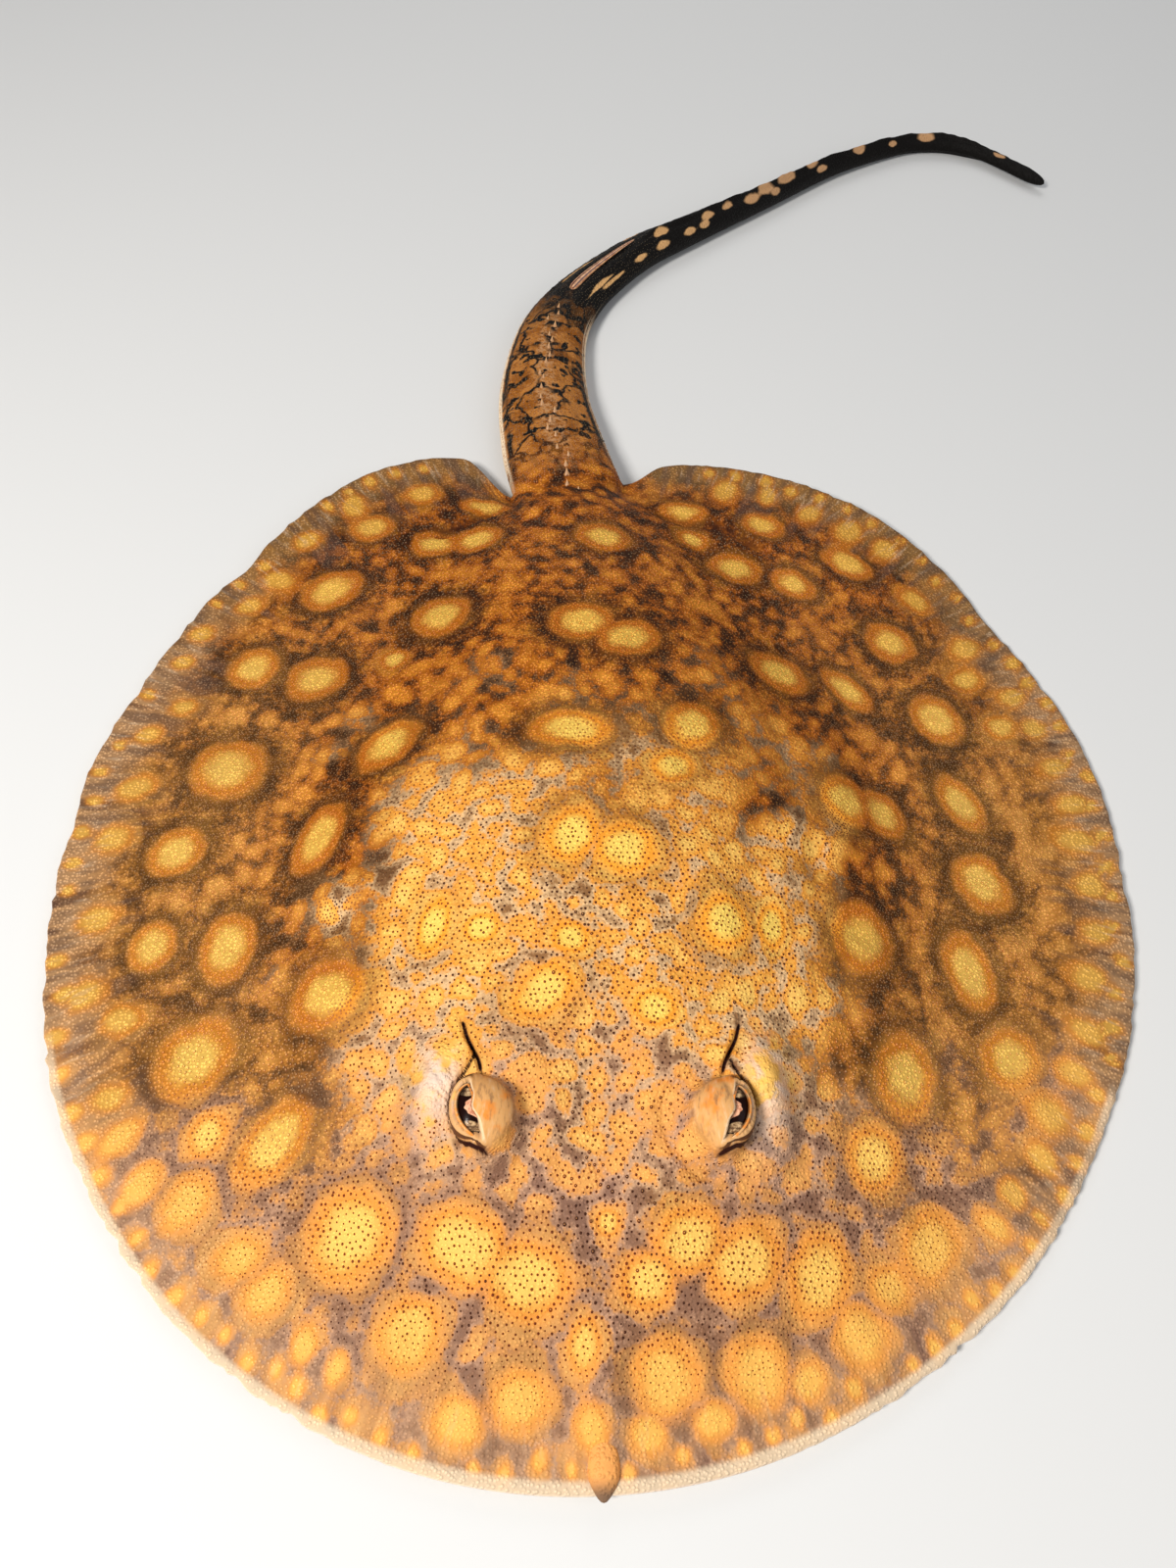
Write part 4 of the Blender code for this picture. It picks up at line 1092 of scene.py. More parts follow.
def ramp(value, stops):
    node = treeOf(value).nodes.new("ShaderNodeValToRGB")
    feed(node.inputs, {"Fac": value})
    band = node.color_ramp
    band.elements[0].position, band.elements[0].color = stops[0]
    band.elements[1].position, band.elements[1].color = stops[-1]
    for place, colour in stops[1:-1]:
        band.elements.new(place).color = colour
    return Wire(node.outputs["Color"])


# An empty node group: its tree, its inputs as wires and its outputs as sockets
def newGroup(name, inputs, outputs):
    tree = bpy.data.node_groups.new(name, "ShaderNodeTree")
    for direction, sockets in (("INPUT", inputs), ("OUTPUT", outputs)):
        for socket, kind in sockets.items():
            tree.interface.new_socket(socket, in_out=direction, socket_type=f"NodeSocket{kind}")
    given = tree.nodes.new("NodeGroupInput").outputs
    return tree, [Wire(given[name]) for name in inputs], tree.nodes.new("NodeGroupOutput").inputs


def placeGroup(tree, group, inputs):
    node = tree.nodes.new("ShaderNodeGroup")
    node.node_tree = group
    feed(node.inputs, inputs)
    return [Wire(socket) for socket in node.outputs]


# A new material: itself, its tree, its shader's inputs and the place on the object as a wire
def startMaterial(name):
    made = bpy.data.materials.new(name)
    made.use_nodes = True
    tree = made.node_tree
    place = addNode(tree, "ShaderNodeTexCoord", output="Object")
    return made, tree, tree.nodes["Principled BSDF"].inputs, place


# Among these, the fold colours and the denticles' base colour are painted shade, and the tip colours are
# painted highlights
shades = {
    "rearNet": tint(44, 18, 0), "rearNetPale": tint(92, 46, 4), "rearBlotch": tint(178, 94, 8),
    "rearPale": tint(238, 150, 42), "rearHalo": tint(54, 24, 0), "rearRing": tint(196, 106, 10),
    "rearCore": tint(255, 200, 86),
    "finNet": tint(104, 66, 26), "finNetPale": tint(156, 102, 46), "finBlotch": tint(206, 136, 56),
    "finPale": tint(236, 166, 78), "finHalo": tint(90, 56, 16), "finRing": tint(216, 130, 30),
    "finCore": tint(255, 204, 96),
    "headNet": tint(148, 104, 64), "headNetPale": tint(232, 190, 138), "headBlotch": tint(244, 160, 56),
    "headPale": tint(255, 200, 100), "headHalo": tint(166, 112, 52), "headRing": tint(250, 158, 40),
    "headCore": tint(255, 212, 100),
    "frontNet": tint(142, 104, 84), "frontNetPale": tint(198, 152, 120), "frontBlotch": tint(230, 158, 86),
    "frontPale": tint(246, 178, 96), "frontHalo": tint(140, 96, 64), "frontRing": tint(236, 150, 58),
    "frontCore": tint(255, 200, 98),
    "margin": tint(204, 158, 112), "marginRear": tint(164, 120, 66), "marginDark": tint(100, 74, 62),
    "marginPale": tint(228, 198, 164), "cream": tint(238, 214, 180),
    "lidSkin": tint(216, 160, 98), "lidBlotch": tint(226, 138, 56), "lidGrey": tint(126, 92, 66),
    "lidRim": tint(208, 160, 106), "lilac": tint(234, 208, 188), "paintedShade": tint(40, 8, 5),
    "paintedShadeRed": tint(112, 56, 26),
    "tailTan": tint(176, 114, 50), "tailOrange": tint(136, 78, 18), "tailDark": tint(10, 7, 5),
    "tailPale": tint(206, 160, 104), "tailPink": tint(180, 138, 98),
    "dotDark": tint(58, 26, 10), "tip": tint(255, 224, 176), "tipHighlightWarm": tint(238, 162, 76),
    "nubGrey": tint(120, 92, 70), "baseShade": tint(150, 92, 48),
    "iris": tint(112, 84, 58), "irisPale": tint(206, 172, 128), "irisEdge": tint(36, 24, 20),
    "irisRing": tint(70, 46, 34), "irisLow": tint(30, 18, 16), "pupil": tint(26, 8, 5),
    "curtain": tint(196, 128, 96), "curtainPale": tint(232, 176, 140),
    "sting": tint(164, 108, 72), "stingPale": tint(212, 160, 112), "stingGroove": tint(72, 26, 18),
}
colourZones = ("rear", "fin", "head", "front")


# The back's markings: blotches in a net, ringed spots over them, streaks and small spots at the margin.
# It reads marks stored on the mesh, so skin and denticles agree
def markingGroup():
    tree, (place,), result = newGroup("rayMarkings", {"Place": "Vector"},
                                      {"Colour": "Color", "Head": "Float", "Front": "Float"})
    x, y = (addNode(tree, "ShaderNodeSeparateXYZ", {0: place}, axis) for axis in "XY")
    flat = addNode(tree, "ShaderNodeCombineXYZ", {"X": x, "Y": y})
    share, spot, ring, web = attributes(tree, "share", "spot", "ring", "web")
    drift = (noise(flat, 45) - 0.5) * 0.09
    front = rise(y + drift, -42 * mm, -88 * mm)
    head = rise(y + drift, 34 * mm, -24 * mm) * rise(abs(x) + drift, 58 * mm, 38 * mm)
    fin = rise(share, 0.45, 0.75) * rise(y + drift, 80 * mm, 5 * mm)

    grit = noise(flat, 1100) - 0.5
    fine = noise(flat, 420, 3.0, 0.65) - 0.5
    coarse = noise(flat, 130) - 0.5
    broad = noise(flat, 55) - 0.5
    uneven = fine * 0.55 + coarse * 0.7
    ratio = spot + uneven
    level = web * 1.25 - 1.7
    for value, size in ((fine, 1.8), (grit, 1.7), (coarse, 1.2), (broad, 2.0), (head, -0.1), (front, -0.5)):
        level = level + value * size
    level = (level + 1.2) * 0.3

    # One colour from those of the four zones
    def zoned(colours):
        rear, onFin, onHead, inFront = colours
        return mixed(front, mixed(head, mixed(fin, rear, onFin), onHead), inFront)

    def shade(part):
        return zoned([shades[zone + part] for zone in colourZones])

    def ground(zone):
        stops = {"Net": 0.0, "NetPale": 0.22, "Blotch": 0.42, "Pale": 0.85}
        return ramp(level, [(at, shades[zone + part]) for part, at in stops.items()])

    colour = zoned([ground(zone) for zone in colourZones])
    speckled = ratio + (fine + grit) * 1.5
    colour = mixed(rise(ratio, 1.25, 1.85) * rise(speckled, 3.4, 1.9) * ring * 0.85, colour, shade("Halo"))
    soft = rise(share, 0.80, 0.90)
    colour = mixed(rise(ratio, 1.95, 1.15) * (1.0 - soft * 0.2), colour, shade("Ring"))
    colour = mixed(rise(ratio, 1.35, 0.55) * (1.0 - soft * 0.35), colour, shade("Core"))

    # Streaks run outwards: the noise is read by direction and by share of the way to the margin
    turn = maths("ARCTAN2", x, y * -1.0)
    polar = addNode(tree, "ShaderNodeCombineXYZ", {"X": turn * 0.122, "Y": share * 0.122})
    stretched = addNode(tree, "ShaderNodeMapping", {"Vector": polar, "Scale": (1, 0.18, 1)})
    streak = noise(stretched, 700, 3.0, 0.6)
    broadStreak = noise(stretched, 190)
    free = 1.0 - rise(abs(x + 5 * mm), 27 * mm, 16 * mm) * rise(y, 76 * mm, 90 * mm)
    outward = rise(share + uneven * 0.10, 0.86, 0.98) * free * rise(ratio, 0.8, 1.7)
    backing = mixed(rise(broadStreak, 0.50, 0.66), shades["margin"], shades["marginDark"])
    backing = mixed(rise(y, 30 * mm, 85 * mm), backing, shades["marginRear"])
    colour = mixed(outward * (0.85 - front * 0.55), colour, backing)
    white = rise(streak, 0.50, 0.72) * rise(share, 0.87, 0.98) * free * (0.5 - front * 0.3)
    colour = mixed(white, colour, shades["marginPale"])
    dusk = rise(broadStreak, 0.52, 0.40) * (rise(share, 0.80, 0.88) * rise(ratio, 1.1, 2.0))
    colour = mixed(dusk * free * (0.6 - front * 0.35), colour, shades["marginDark"])
    edgeLine = rise(share, 0.984, 0.994) * front
    colour = mixed(edgeLine * 0.8, colour, shades["cream"])
    feed(result, {"Colour": colour, "Head": head, "Front": front})
    return tree


# Fine granules of the skin between the denticles: a height, and a share from small round cells that the skin
# uses for painted shade in the hollows and painted highlights on the tops
def granuleGroup():
    tree, (place, size), result = newGroup("fineGranules", {"Place": "Vector", "Size": "Float"},
                                           {"Height": "Float", "Shade": "Float"})
    bead = rise(cells(place, 1.0 / size, 0.85, "F1"), 0.62, 0.12)
    feed(result, {"Height": bead + noise(place, 2200) * 0.35, "Shade": bead})
    return tree


markings = markingGroup()
granules = granuleGroup()


# The tail's colours: tan with a dark net near the disc, then black with pale blotches; cream sides
def tailGroup():
    tree, (place, bodyColour), result = newGroup("tailMarkings", {"Place": "Vector", "Colour": "Color"},
                                                 {"Colour": "Color"})
    along, angle, spot = attributes(tree, "tailAlong", "tailAngle", "tailSpot")
    sideways = maths("SINE", angle)
    net = cells(wobbled(place, 170, 7 * mm), 1 / (11 * mm), 0.9, "DISTANCE_TO_EDGE")
    lines = rise(net, 0.075, 0.015) * rise(noise(place, 120), 0.34, 0.46)
    specks = rise(noise(place, 330, 2.0, 0.4), 0.58, 0.64)
    warm = noise(place, 150, 3.0, 0.6)
    fine = noise(place, 900, 3.0, 0.6)
    tan = mixed(rise(warm + fine * 0.5, 0.62, 0.86), shades["tailOrange"], shades["tailTan"])
    middle = rise(sideways, 0.965, 0.995) * rise(fine, 0.40, 0.60)
    tan = mixed(middle * 0.65, tan, shades["tailPink"])
    tan = mixed(maths("MAXIMUM", lines, specks), tan, shades["tailDark"])
    colour = mixed(rise(along + warm * 0.04, 104 * mm, 130 * mm), tan, shades["tailDark"])
    pale = mixed(rise(along, 120 * mm, 210 * mm), shades["tailPale"], shades["tailPink"])
    ragged = spot + (warm - 0.5) * 1.3
    colour = mixed(rise(ragged, 1.2, 0.75) * rise(along, 90 * mm, 104 * mm), colour, pale)
    shadow = rise(abs(sideways - 0.42), 0.16, 0.05) * rise(noise(place, 85), 0.40, 0.55)
    colour = mixed(shadow * rise(along, 110 * mm, 95 * mm), colour, shades["tailDark"])
    edge = rise(abs(sideways - 0.1), 0.20, 0.08) * rise(along, 108 * mm, 92 * mm) * rise(warm, 0.30, 0.36)
    colour = mixed(edge, colour, shades["cream"])
    colour = mixed(rise(along, 16 * mm, 40 * mm), bodyColour, colour)
    below = rise(sideways, -0.12, -0.4) * rise(along, 120 * mm, 70 * mm)
    feed(result, {"Colour": mixed(below, colour, shades["cream"])})
    return tree


tailMarkings = tailGroup()


# The skin: markings, lids, painted shade in folds, creases, slits and the pocket behind each eyeball, and
# painted shade and highlights on the granules
def skinMaterial():
    made, tree, shader, place = startMaterial("raySkin")
    colour, head, front = placeGroup(tree, markings, {"Place": place})
    height, grain = placeGroup(tree, granules, {"Place": place, "Size": 0.72 * mm})
    under, crease, creaseShade, lid, slit, below, pocket, valve, nub, lidAcross, lidAlong = attributes(
        tree, "under", "crease", "creaseShade", "lid", "slit", "slitBelow", "pocket", "valve", "nub",
        "lidAcross", "lidAlong")
    foldShade = rise(crease, 1.25, 0.65) * creaseShade
    # Painted shade in the hollows between the granules, less on the head and in front, and a painted
    # highlight on their tops
    shade = 1.0 - (1.0 - grain) * (0.45 - maths("MAXIMUM", head, front) * 0.24)
    hollowShade = addNode(tree, "ShaderNodeCombineColor", {0: shade, 1: shade, 2: shade})
    colour = mixed(1.0, colour, hollowShade, "MULTIPLY")
    colour = mixed(rise(grain, 0.6, 1.0) * 0.09 * (1.0 - head), colour, shades["tip"])

    # The lids: blotches, fine grey and pale lines along them, and a dusky outer part
    lidPlace = addNode(tree, "ShaderNodeCombineXYZ", {"X": lidAcross * (6 * mm), "Y": lidAlong * 0.16})
    lines = noise(lidPlace, 1500, 3.0, 0.6)
    lidSkin = mixed(rise(noise(place, 190, 3.0), 0.52, 0.68), shades["lidSkin"], shades["lidBlotch"])
    lidSkin = mixed(rise(lines, 0.50, 0.70) * 0.75, lidSkin, shades["lidGrey"])
    lidSkin = mixed(rise(lines, 0.48, 0.30) * 0.3, lidSkin, shades["cream"])
    dusky = rise(lid, 0.98, 0.60) * rise(noise(place, 420, 3.0), 0.42, 0.56)
    lidSkin = mixed(dusky * 0.85, lidSkin, shades["headNet"])
    colour = mixed(lid, colour, lidSkin)

    lilac = mixed(rise(noise(place, 150, 3.0), 0.50, 0.60), shades["lilac"], shades["headPale"])
    colour = mixed(valve * 0.8, colour, lilac)
    upperRim = rise(slit, 0.45, 0.20) * (1.0 - below)
    lowerRim = rise(abs(slit - 0.34), 0.34, 0.22) * below
    # Painted shade in the crease under the lower lid's rim
    underRimShade = rise(abs(slit - 1.05), 0.55, 0.30) * below
    colour = mixed(upperRim * 0.55, colour, shades["cream"])
    colour = mixed(underRimShade * 0.9, colour, shades["paintedShade"])
    colour = mixed(lowerRim, colour, shades["lidRim"])
    # Painted shade beside and in the folds and creases
    colour = mixed(rise(crease, 3.2, 0.8) * (creaseShade * 0.30), colour, shades["paintedShadeRed"])
    colour = mixed(foldShade, colour, shades["paintedShade"])
    colour, = placeGroup(tree, tailMarkings, {"Place": place, "Colour": colour})
    nubColour = mixed(rise(nub, 0.66, 0.95), shades["frontBlotch"], shades["nubGrey"])
    colour = mixed(rise(nub, 0.0, 0.02), colour, nubColour)
    pale = mixed(noise(place, 60, 3.0), shades["cream"], shades["lilac"])
    # The underside: pale, with painted shade in its slits and along the mouth
    colour = mixed(rise(under, 0.05, 0.4), colour, mixed(foldShade, pale, shades["paintedShade"]))
    # Painted shade inside the pocket behind the eyeball
    colour = mixed(pocket, colour, shades["paintedShade"])

    roughness = {"Value": height, "From Min": 0.0, "From Max": 1.3, "To Min": 0.62, "To Max": 0.46}
    rough = addNode(tree, "ShaderNodeMapRange", roughness, "Result")
    relief = {"Height": height * (1.0 - maths("MAXIMUM", lid, under)), "Strength": 0.8, "Distance": 0.2 * mm}
    bump = addNode(tree, "ShaderNodeBump", relief, "Normal")
    feed(shader, {"Base Color": colour, "Roughness": rough, "Specular IOR Level": 0.12, "Normal": bump})
    return made


# Every marking mark for places on the plan
def planMarks(x, y):
    share, _ = finShare(x, y)
    spot, ring = spotField(x, y)
    return {"share": share, "spot": np.minimum(spot, 4), "ring": ring, "web": netAt(x, y)}


# Small forms that are part of the flesh: the pelvic fins under the rear lobes and
# the nub at the snout's tip
shells = {
    "pelvicCentre": (24.5 * mm, 97 * mm),
    "pelvicShift": -5 * mm,
    "pelvicRadii": (12.3 * mm, 14.8 * mm, 1.9 * mm),
    "pelvicTurn": math.radians(-18),
    "nubCentre": (0.4 * mm, -124.0 * mm, 3.6 * mm),
    "nubRadii": (2.8 * mm, 5.6 * mm, 2.0 * mm),
}


# A closed round form as rings from its top to its bottom, with its faces: the unit ball
# by latitude and longitude
def ballGrid(rings, columns):
    down = math.pi * np.arange(1, rings) / rings
    around = 2 * math.pi * np.arange(columns) / columns
    body = np.stack([np.outer(np.sin(down), np.cos(around)), np.outer(np.sin(down), np.sin(around)),
                     np.outer(np.cos(down), np.ones(columns))], axis=-1).reshape(-1, 3)
    index = np.arange((rings - 1) * columns).reshape(rings - 1, columns)
    caps = np.vstack([fan(len(body), index[0]), backFan(len(body) + 1, index[-1])])
    return np.vstack([body, [[0, 0, 1], [0, 0, -1]]]), quads(index), caps


# A pelvic fin: a low dome with fine rays and a scalloped rear edge, flat below
def pelvicFin(side):
    points, four, caps = ballGrid(22, 44)
    px, py, pz = points.T
    width, length, height = shells["pelvicRadii"]
    around, out = np.arctan2(py, px), np.hypot(px, py)
    scallop = 1 + 0.018 * np.sin(around * 13) * out ** 3 * (py > 0)
    rays = 0.10 * mm * np.sin(around * 44) * smoothStep(0.3, 0.8, out)
    dome = height * np.abs(pz) ** 0.8 + rays * (pz > 0.05)
    z = np.where(pz > 0, np.maximum(dome, 0.25 * mm * pz) + 0.15 * mm, 0.05 * mm)
    turn = side * shells["pelvicTurn"]
    px, py = px * width * scallop, py * length * scallop
    x = px * math.cos(turn) - py * math.sin(turn) + side * shells["pelvicCentre"][0] + shells["pelvicShift"]
    y = px * math.sin(turn) + py * math.cos(turn) + shells["pelvicCentre"][1]
    return np.column_stack([x, y, z]), four, caps, {"under": np.where(pz > 0.02, 0.1, 1)}


# The nub at the tip of the snout: a teardrop lying along the middle, drawn out to a point in front
def snoutNub():
    points, four, caps = ballGrid(18, 28)
    forward = -points[:, 1]
    point = smoothStep(0.40, 1.0, forward)
    crease = 0.22 * mm * bell(forward - 0.5, 0.07) * (points[:, 2] > 0)
    narrow = 1 - 0.25 * point
    width, length, height = shells["nubRadii"]
    x = points[:, 0] * width * narrow
    z = points[:, 2] * height * narrow - 0.9 * mm * point - crease
    made = np.column_stack([x, points[:, 1] * length, z]) + shells["nubCentre"]
    return made, four, caps, {"nub": 0.1 + 0.45 * (forward + 1)}


islands = {  # lower corner on the unwrap, and size of one metre of skin there
    "top": ((0.375, 0.375), 2.35),
    "sole": ((0.875, 0.14), 0.92),
    "shells": ((0.875, 0.40), 1.98),
}
tailIsland = (0.02, 0.96, 0.775, 0.21)  # its left edge, its length, its lower edge and its height
shellStep = 32 * mm  # from one small form to the next on the unwrap, and from its upper to its lower side
shellAside = 26 * mm


# Unwrap places for one group of faces: the disc spread flat from the pole by length along the skin, the
# sole the same, and the tail as a strip of length by angle
def unwrapGroup(kind, faces, marks, disk):
    if kind == "tail":
        along, angle = marks["tailAlong"][faces], marks["tailAngle"][faces].copy()
        wraps = (angle.max(axis=1) - angle.min(axis=1)) > math.pi
        angle += np.where(wraps[:, None] & (angle < math.pi) & (along < tailTotal - 1e-9), 2 * math.pi, 0)
        left, length, low, height = tailIsland
        up = low + height * angle / (2 * math.pi + 0.3)
        return np.stack([left + length * along / tailTotal, up], axis=-1)
    corner, size = islands[kind]
    return np.array(corner) + size * disk[faces]


# Unwrap places for one group of a small form's faces, seen from above, those below beside the others
def unwrapShell(number, points, faces):
    middle = points.mean(axis=0)
    below = points[faces][:, :, 2].mean(axis=1) < middle[2] * 0.4
    corner, size = islands["shells"]
    flat = points[faces][..., :2] - middle[:2] + np.array([0, shellStep * number])
    return np.array(corner) + size * (flat + np.where(below, shellAside, 0)[:, None, None] * [1, 0])


# The whole skin: the closed body, then the small forms beside it, with all marks
def wholeSkin():
    points, groups, marks, grid = buildSkin()
    marks.update(planMarks(points[:, 0], points[:, 1]))
    aside = np.abs(points[:, 0])
    valveAway = np.hypot((aside - 29.5 * mm) / (6 * mm), (points[:, 1] + 65.5 * mm) / (9 * mm))
    marks["valve"] = bell(valveAway, 0.85) * smoothStep(24 * mm, 27 * mm, aside) * (1 - marks["under"])
    tailSpot = tailSpotField(marks["tailAlong"], marks["tailAngle"])
    marks["tailSpot"] = np.where(marks["tailAlong"] > 0, tailSpot, farOff)
    marks["nub"] = np.zeros(len(points))
    faces = [group for _, group in groups]
    unwraps = [unwrapGroup(kind, group, marks, grid["disk"]) for kind, group in groups]
    for number, (made, four, caps, own) in enumerate((pelvicFin(1), pelvicFin(-1), snoutNub())):
        for group in (four, caps):
            faces.append(group + len(points))
            unwraps.append(unwrapShell(number, made, group))
        points = np.vstack([points, made])
        own = {**planMarks(made[:, 0], made[:, 1]), "tailSpot": np.full(len(made), farOff), **own}
        marks = {name: np.append(values, own.get(name, np.zeros(len(made))))
                 for name, values in marks.items()}
    return points, faces, np.vstack([places.reshape(-1, 2) for places in unwraps]), marks, grid


skinPoints, skinFaces, skinUnwrap, skinMarks, grid = wholeSkin()
skin = meshObject("skin", skinPoints, skinFaces)
setUnwrap(skin, skinUnwrap)
setMarks(skin, skinMarks)
faceOutward(skin)
skin.data.materials.append(skinMaterial())
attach(skin, "root")
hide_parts("head", "trunk", "snout", "snout_tip", "pectoral_fin_left", "pectoral_fin_right",
            "pelvic_fin_left", "pelvic_fin_right", "eyelid_left", "eyelid_right", "spiracle_flap_left",
            "spiracle_flap_right", "nasal_curtain", "lower_jaw", "tail_base", "tail_middle", "tail_end",
            "tail_fold_upper", "tail_fold_lower")
print("skin made:", sum(len(p.vertices) - 2 for p in skin.data.polygons), "triangles")


# Denticles: small tooth-like scales that stand on the skin, thickest on the hump and finest on the fins
denticles = {
    "headStep": 1.24 * mm,
    "finStep": 0.78 * mm,
    "headRadius": 0.29 * mm,
    "finRadius": 0.30 * mm,
    "headHeight": 0.19 * mm,
    "finHeight": 0.14 * mm,
    "sides": 6,
    "long": 1.12,  # length over breadth
    "lean": 0.28,  # of the crown, in radii
    "shoulder": (0.62, 0.72),  # the middle hexagon, as shares of the root's radius and of the height
    "hollow": 0.55,  # height of a ring-shaped one's middle
    "sunk": 0.05 * mm,
    "largest": {"head": 10800, "fin": 30000},  # denticles in one piece
    "patch": 0.003,  # of the unwrap for one denticle
}


# Any array of the skin's points read at a place between its grid's rings and columns
def onGrid(values, ring, column):
    index = grid["index"]
    ring = np.clip(ring, 0, index.shape[0] - 1.001)
    r, c = ring.astype(int), column.astype(int) % index.shape[1]
    c2 = (c + 1) % index.shape[1]
    fr, fc = ring - r, column - column.astype(int)
    if values.ndim > 1:
        fr, fc = fr[:, None], fc[:, None]
    near = blendOf(values[index[r, c]], values[index[r, c2]], fc)
    far = blendOf(values[index[r + 1, c]], values[index[r + 1, c2]], fc)
    return blendOf(near, far, fr)


# Roots on the plan in a triangular lattice, each moved a little
def latticeRoots(step, seed):
    draw = np.random.default_rng(seed)
    xs = np.arange(-125 * mm, 125 * mm, step)
    ys = np.arange(-135 * mm, 118 * mm, step * 0.866)
    x, y = np.meshgrid(xs, ys)
    x = x + (np.arange(len(ys))[:, None] % 2) * step / 2
    x = (x + draw.uniform(-0.27, 0.27, x.shape) * step).ravel()
    y = (y + draw.uniform(-0.27, 0.27, y.shape) * step).ravel()
    return x, y


# Ring and column of the skin's grid for a place on the plan, read from the direction
# and distance from the pole
def gridPlace(x, y):
    turn = turnOf(x, y)
    turns = grid["turns"]
    start = turns[0]
    unrolled = np.mod(turn - start, 2 * math.pi)
    known = np.mod(turns - start, 2 * math.pi)
    column = np.interp(unrolled, np.append(known, 2 * math.pi), np.arange(len(turns) + 1))
    reach = np.interp(column, np.arange(len(turns) + 1), np.append(grid["distance"], grid["distance"][0]))
    share = np.hypot(x, y - disc["poleY"]) / reach
    ring = np.interp(share, grid["shares"], np.arange(len(grid["shares"]))) - 1
    return ring, np.minimum(column, len(turns) - 0.001), share


# Denticle meshes from roots, normals and sizes: a hexagon sunk in the skin, a smaller one higher up and a
# crown leaning back, or a sunk crown in the large ring-shaped ones
def denticlePiece(name, roots, normals, radius, height, crater, rootMarks, unwrap, plain=False):
    sides = denticles["sides"]
    count = len(roots)
    draw = np.random.default_rng(len(name) + count)
    back = np.array([0.0, 1.0, 0.0])
    ahead = np.cross(normals, back)
    ahead /= np.linalg.norm(ahead, axis=1, keepdims=True)
    across = np.cross(ahead, normals)
    k = np.arange(sides)
    even = 2 * math.pi * k / sides
    around = even + draw.uniform(0, 2 * math.pi, count)[:, None]
    layout = np.stack([np.cos(around), denticles["long"] * np.sin(around)], axis=-1)
    lean = np.array([0, denticles["lean"]])

    # One ring of points round each root, by its share of the radius, its height and how far it leans
    def level(share, lift, lean):
        flat = layout * share + lean
        sideways = flat[..., :1] * ahead[:, None] + flat[..., 1:] * across[:, None]
        return roots[:, None] + radius[:, None, None] * sideways + lift[:, None, None] * normals[:, None]

    base = level(1.0, np.full(count, -denticles["sunk"]), 0 * lean)
    width, shoulder = denticles["shoulder"]
    middle = level(width, height * np.where(crater, 1.0, shoulder), lean * 0.5)
    top = level(0.0, height * np.where(crater, denticles["hollow"], 1.0), lean)[:, :1]
    k2 = (k + 1) % sides
    hexagon = np.stack([np.cos(even), np.sin(even)], axis=1) * denticles["patch"] / 2
    if plain:
        points = np.concatenate([base, top], axis=1)
        patterns = [np.stack([k, k2, np.full(sides, sides)], axis=1)]
        patch = np.concatenate([hexagon, [[0, 0]]])
        crown = np.concatenate([np.zeros(sides), [1.0]])
    else:
        points = np.concatenate([base, middle, top], axis=1)
        patterns = [np.stack([k, k2, k2 + sides, k + sides], axis=1),
                    np.stack([k + sides, k2 + sides, np.full(sides, 2 * sides)], axis=1)]
        patch = np.concatenate([hexagon, hexagon * 0.55, [[0, 0]]])
        crown = np.concatenate([np.zeros(sides), np.full(sides, 0.6), [1.0]])
    each = len(crown)
    starts = (np.arange(count) * each)[:, None, None]
    groups = [(pattern + starts).reshape(-1, pattern.shape[1]) for pattern in patterns]
    made = meshObject(name, points.reshape(-1, 3), groups)
    places = (unwrap[:, None] + patch[None]).reshape(-1, 2)
    setUnwrap(made, np.vstack([places[group.ravel()] for group in groups]))
    setMarks(made, {"crown": np.tile(crown, count), "crater": np.repeat(crater.astype(float), each)})
    setMarks(made, {name: np.repeat(values, each) for name, values in rootMarks.items()})
    made.data.materials.append(denticleSkin)
    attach(made, "root")


# Denticles take the skin's markings, with painted shade in the folds and at their bases and painted
# highlights on their tips
def denticleMaterial():
    made, tree, shader, place = startMaterial("rayDenticles")
    colour, head, front = placeGroup(tree, markings, {"Place": place})
    crown, foldShade, crater, along, web, share = attributes(
        tree, "crown", "foldShade", "crater", "tailAlong", "web", "share")
    colour = mixed(foldShade, colour, shades["paintedShade"])
    colour, = placeGroup(tree, tailMarkings, {"Place": place, "Colour": colour})
    # Painted shade at each denticle's base; on the head and in front the crowns turn to dark dots, which are
    # their own colour
    deep = mixed(1.0, colour, shades["baseShade"], "MULTIPLY")
    dotted = mixed(rise(web, 2.6, 0.9) * 0.42 + 0.5, deep, shades["dotDark"])
    dotted = mixed(crater * rise(crown, 0.75, 1.0), dotted, mixed(0.55, colour, shades["frontBlotch"]))
    headColour = mixed(rise(crown, 0.12, 0.5), colour, dotted)
    # Painted highlights on the crowns elsewhere, warmer on the fins
    isFin = rise(share, 0.42, 0.62)
    highlightShare = addNode(tree, "ShaderNodeMix", {0: isFin, 2: 0.30, 3: 0.17}, data_type="FLOAT")
    highlightTips = mixed(highlightShare, colour, mixed(isFin, shades["tipHighlightWarm"], shades["tip"]))
    backColour = mixed(rise(crown, 0.30, 0.95), mixed(0.8, colour, deep), highlightTips)
    dark = maths("MAXIMUM", head, front) * rise(share, 0.975, 0.90) * rise(along, 20 * mm, 10 * mm)
    colour = mixed(dark, backColour, headColour)
    feed(shader, {"Base Color": colour, "Roughness": 0.5, "Specular IOR Level": 0.15})
    return made


denticleSkin = denticleMaterial()


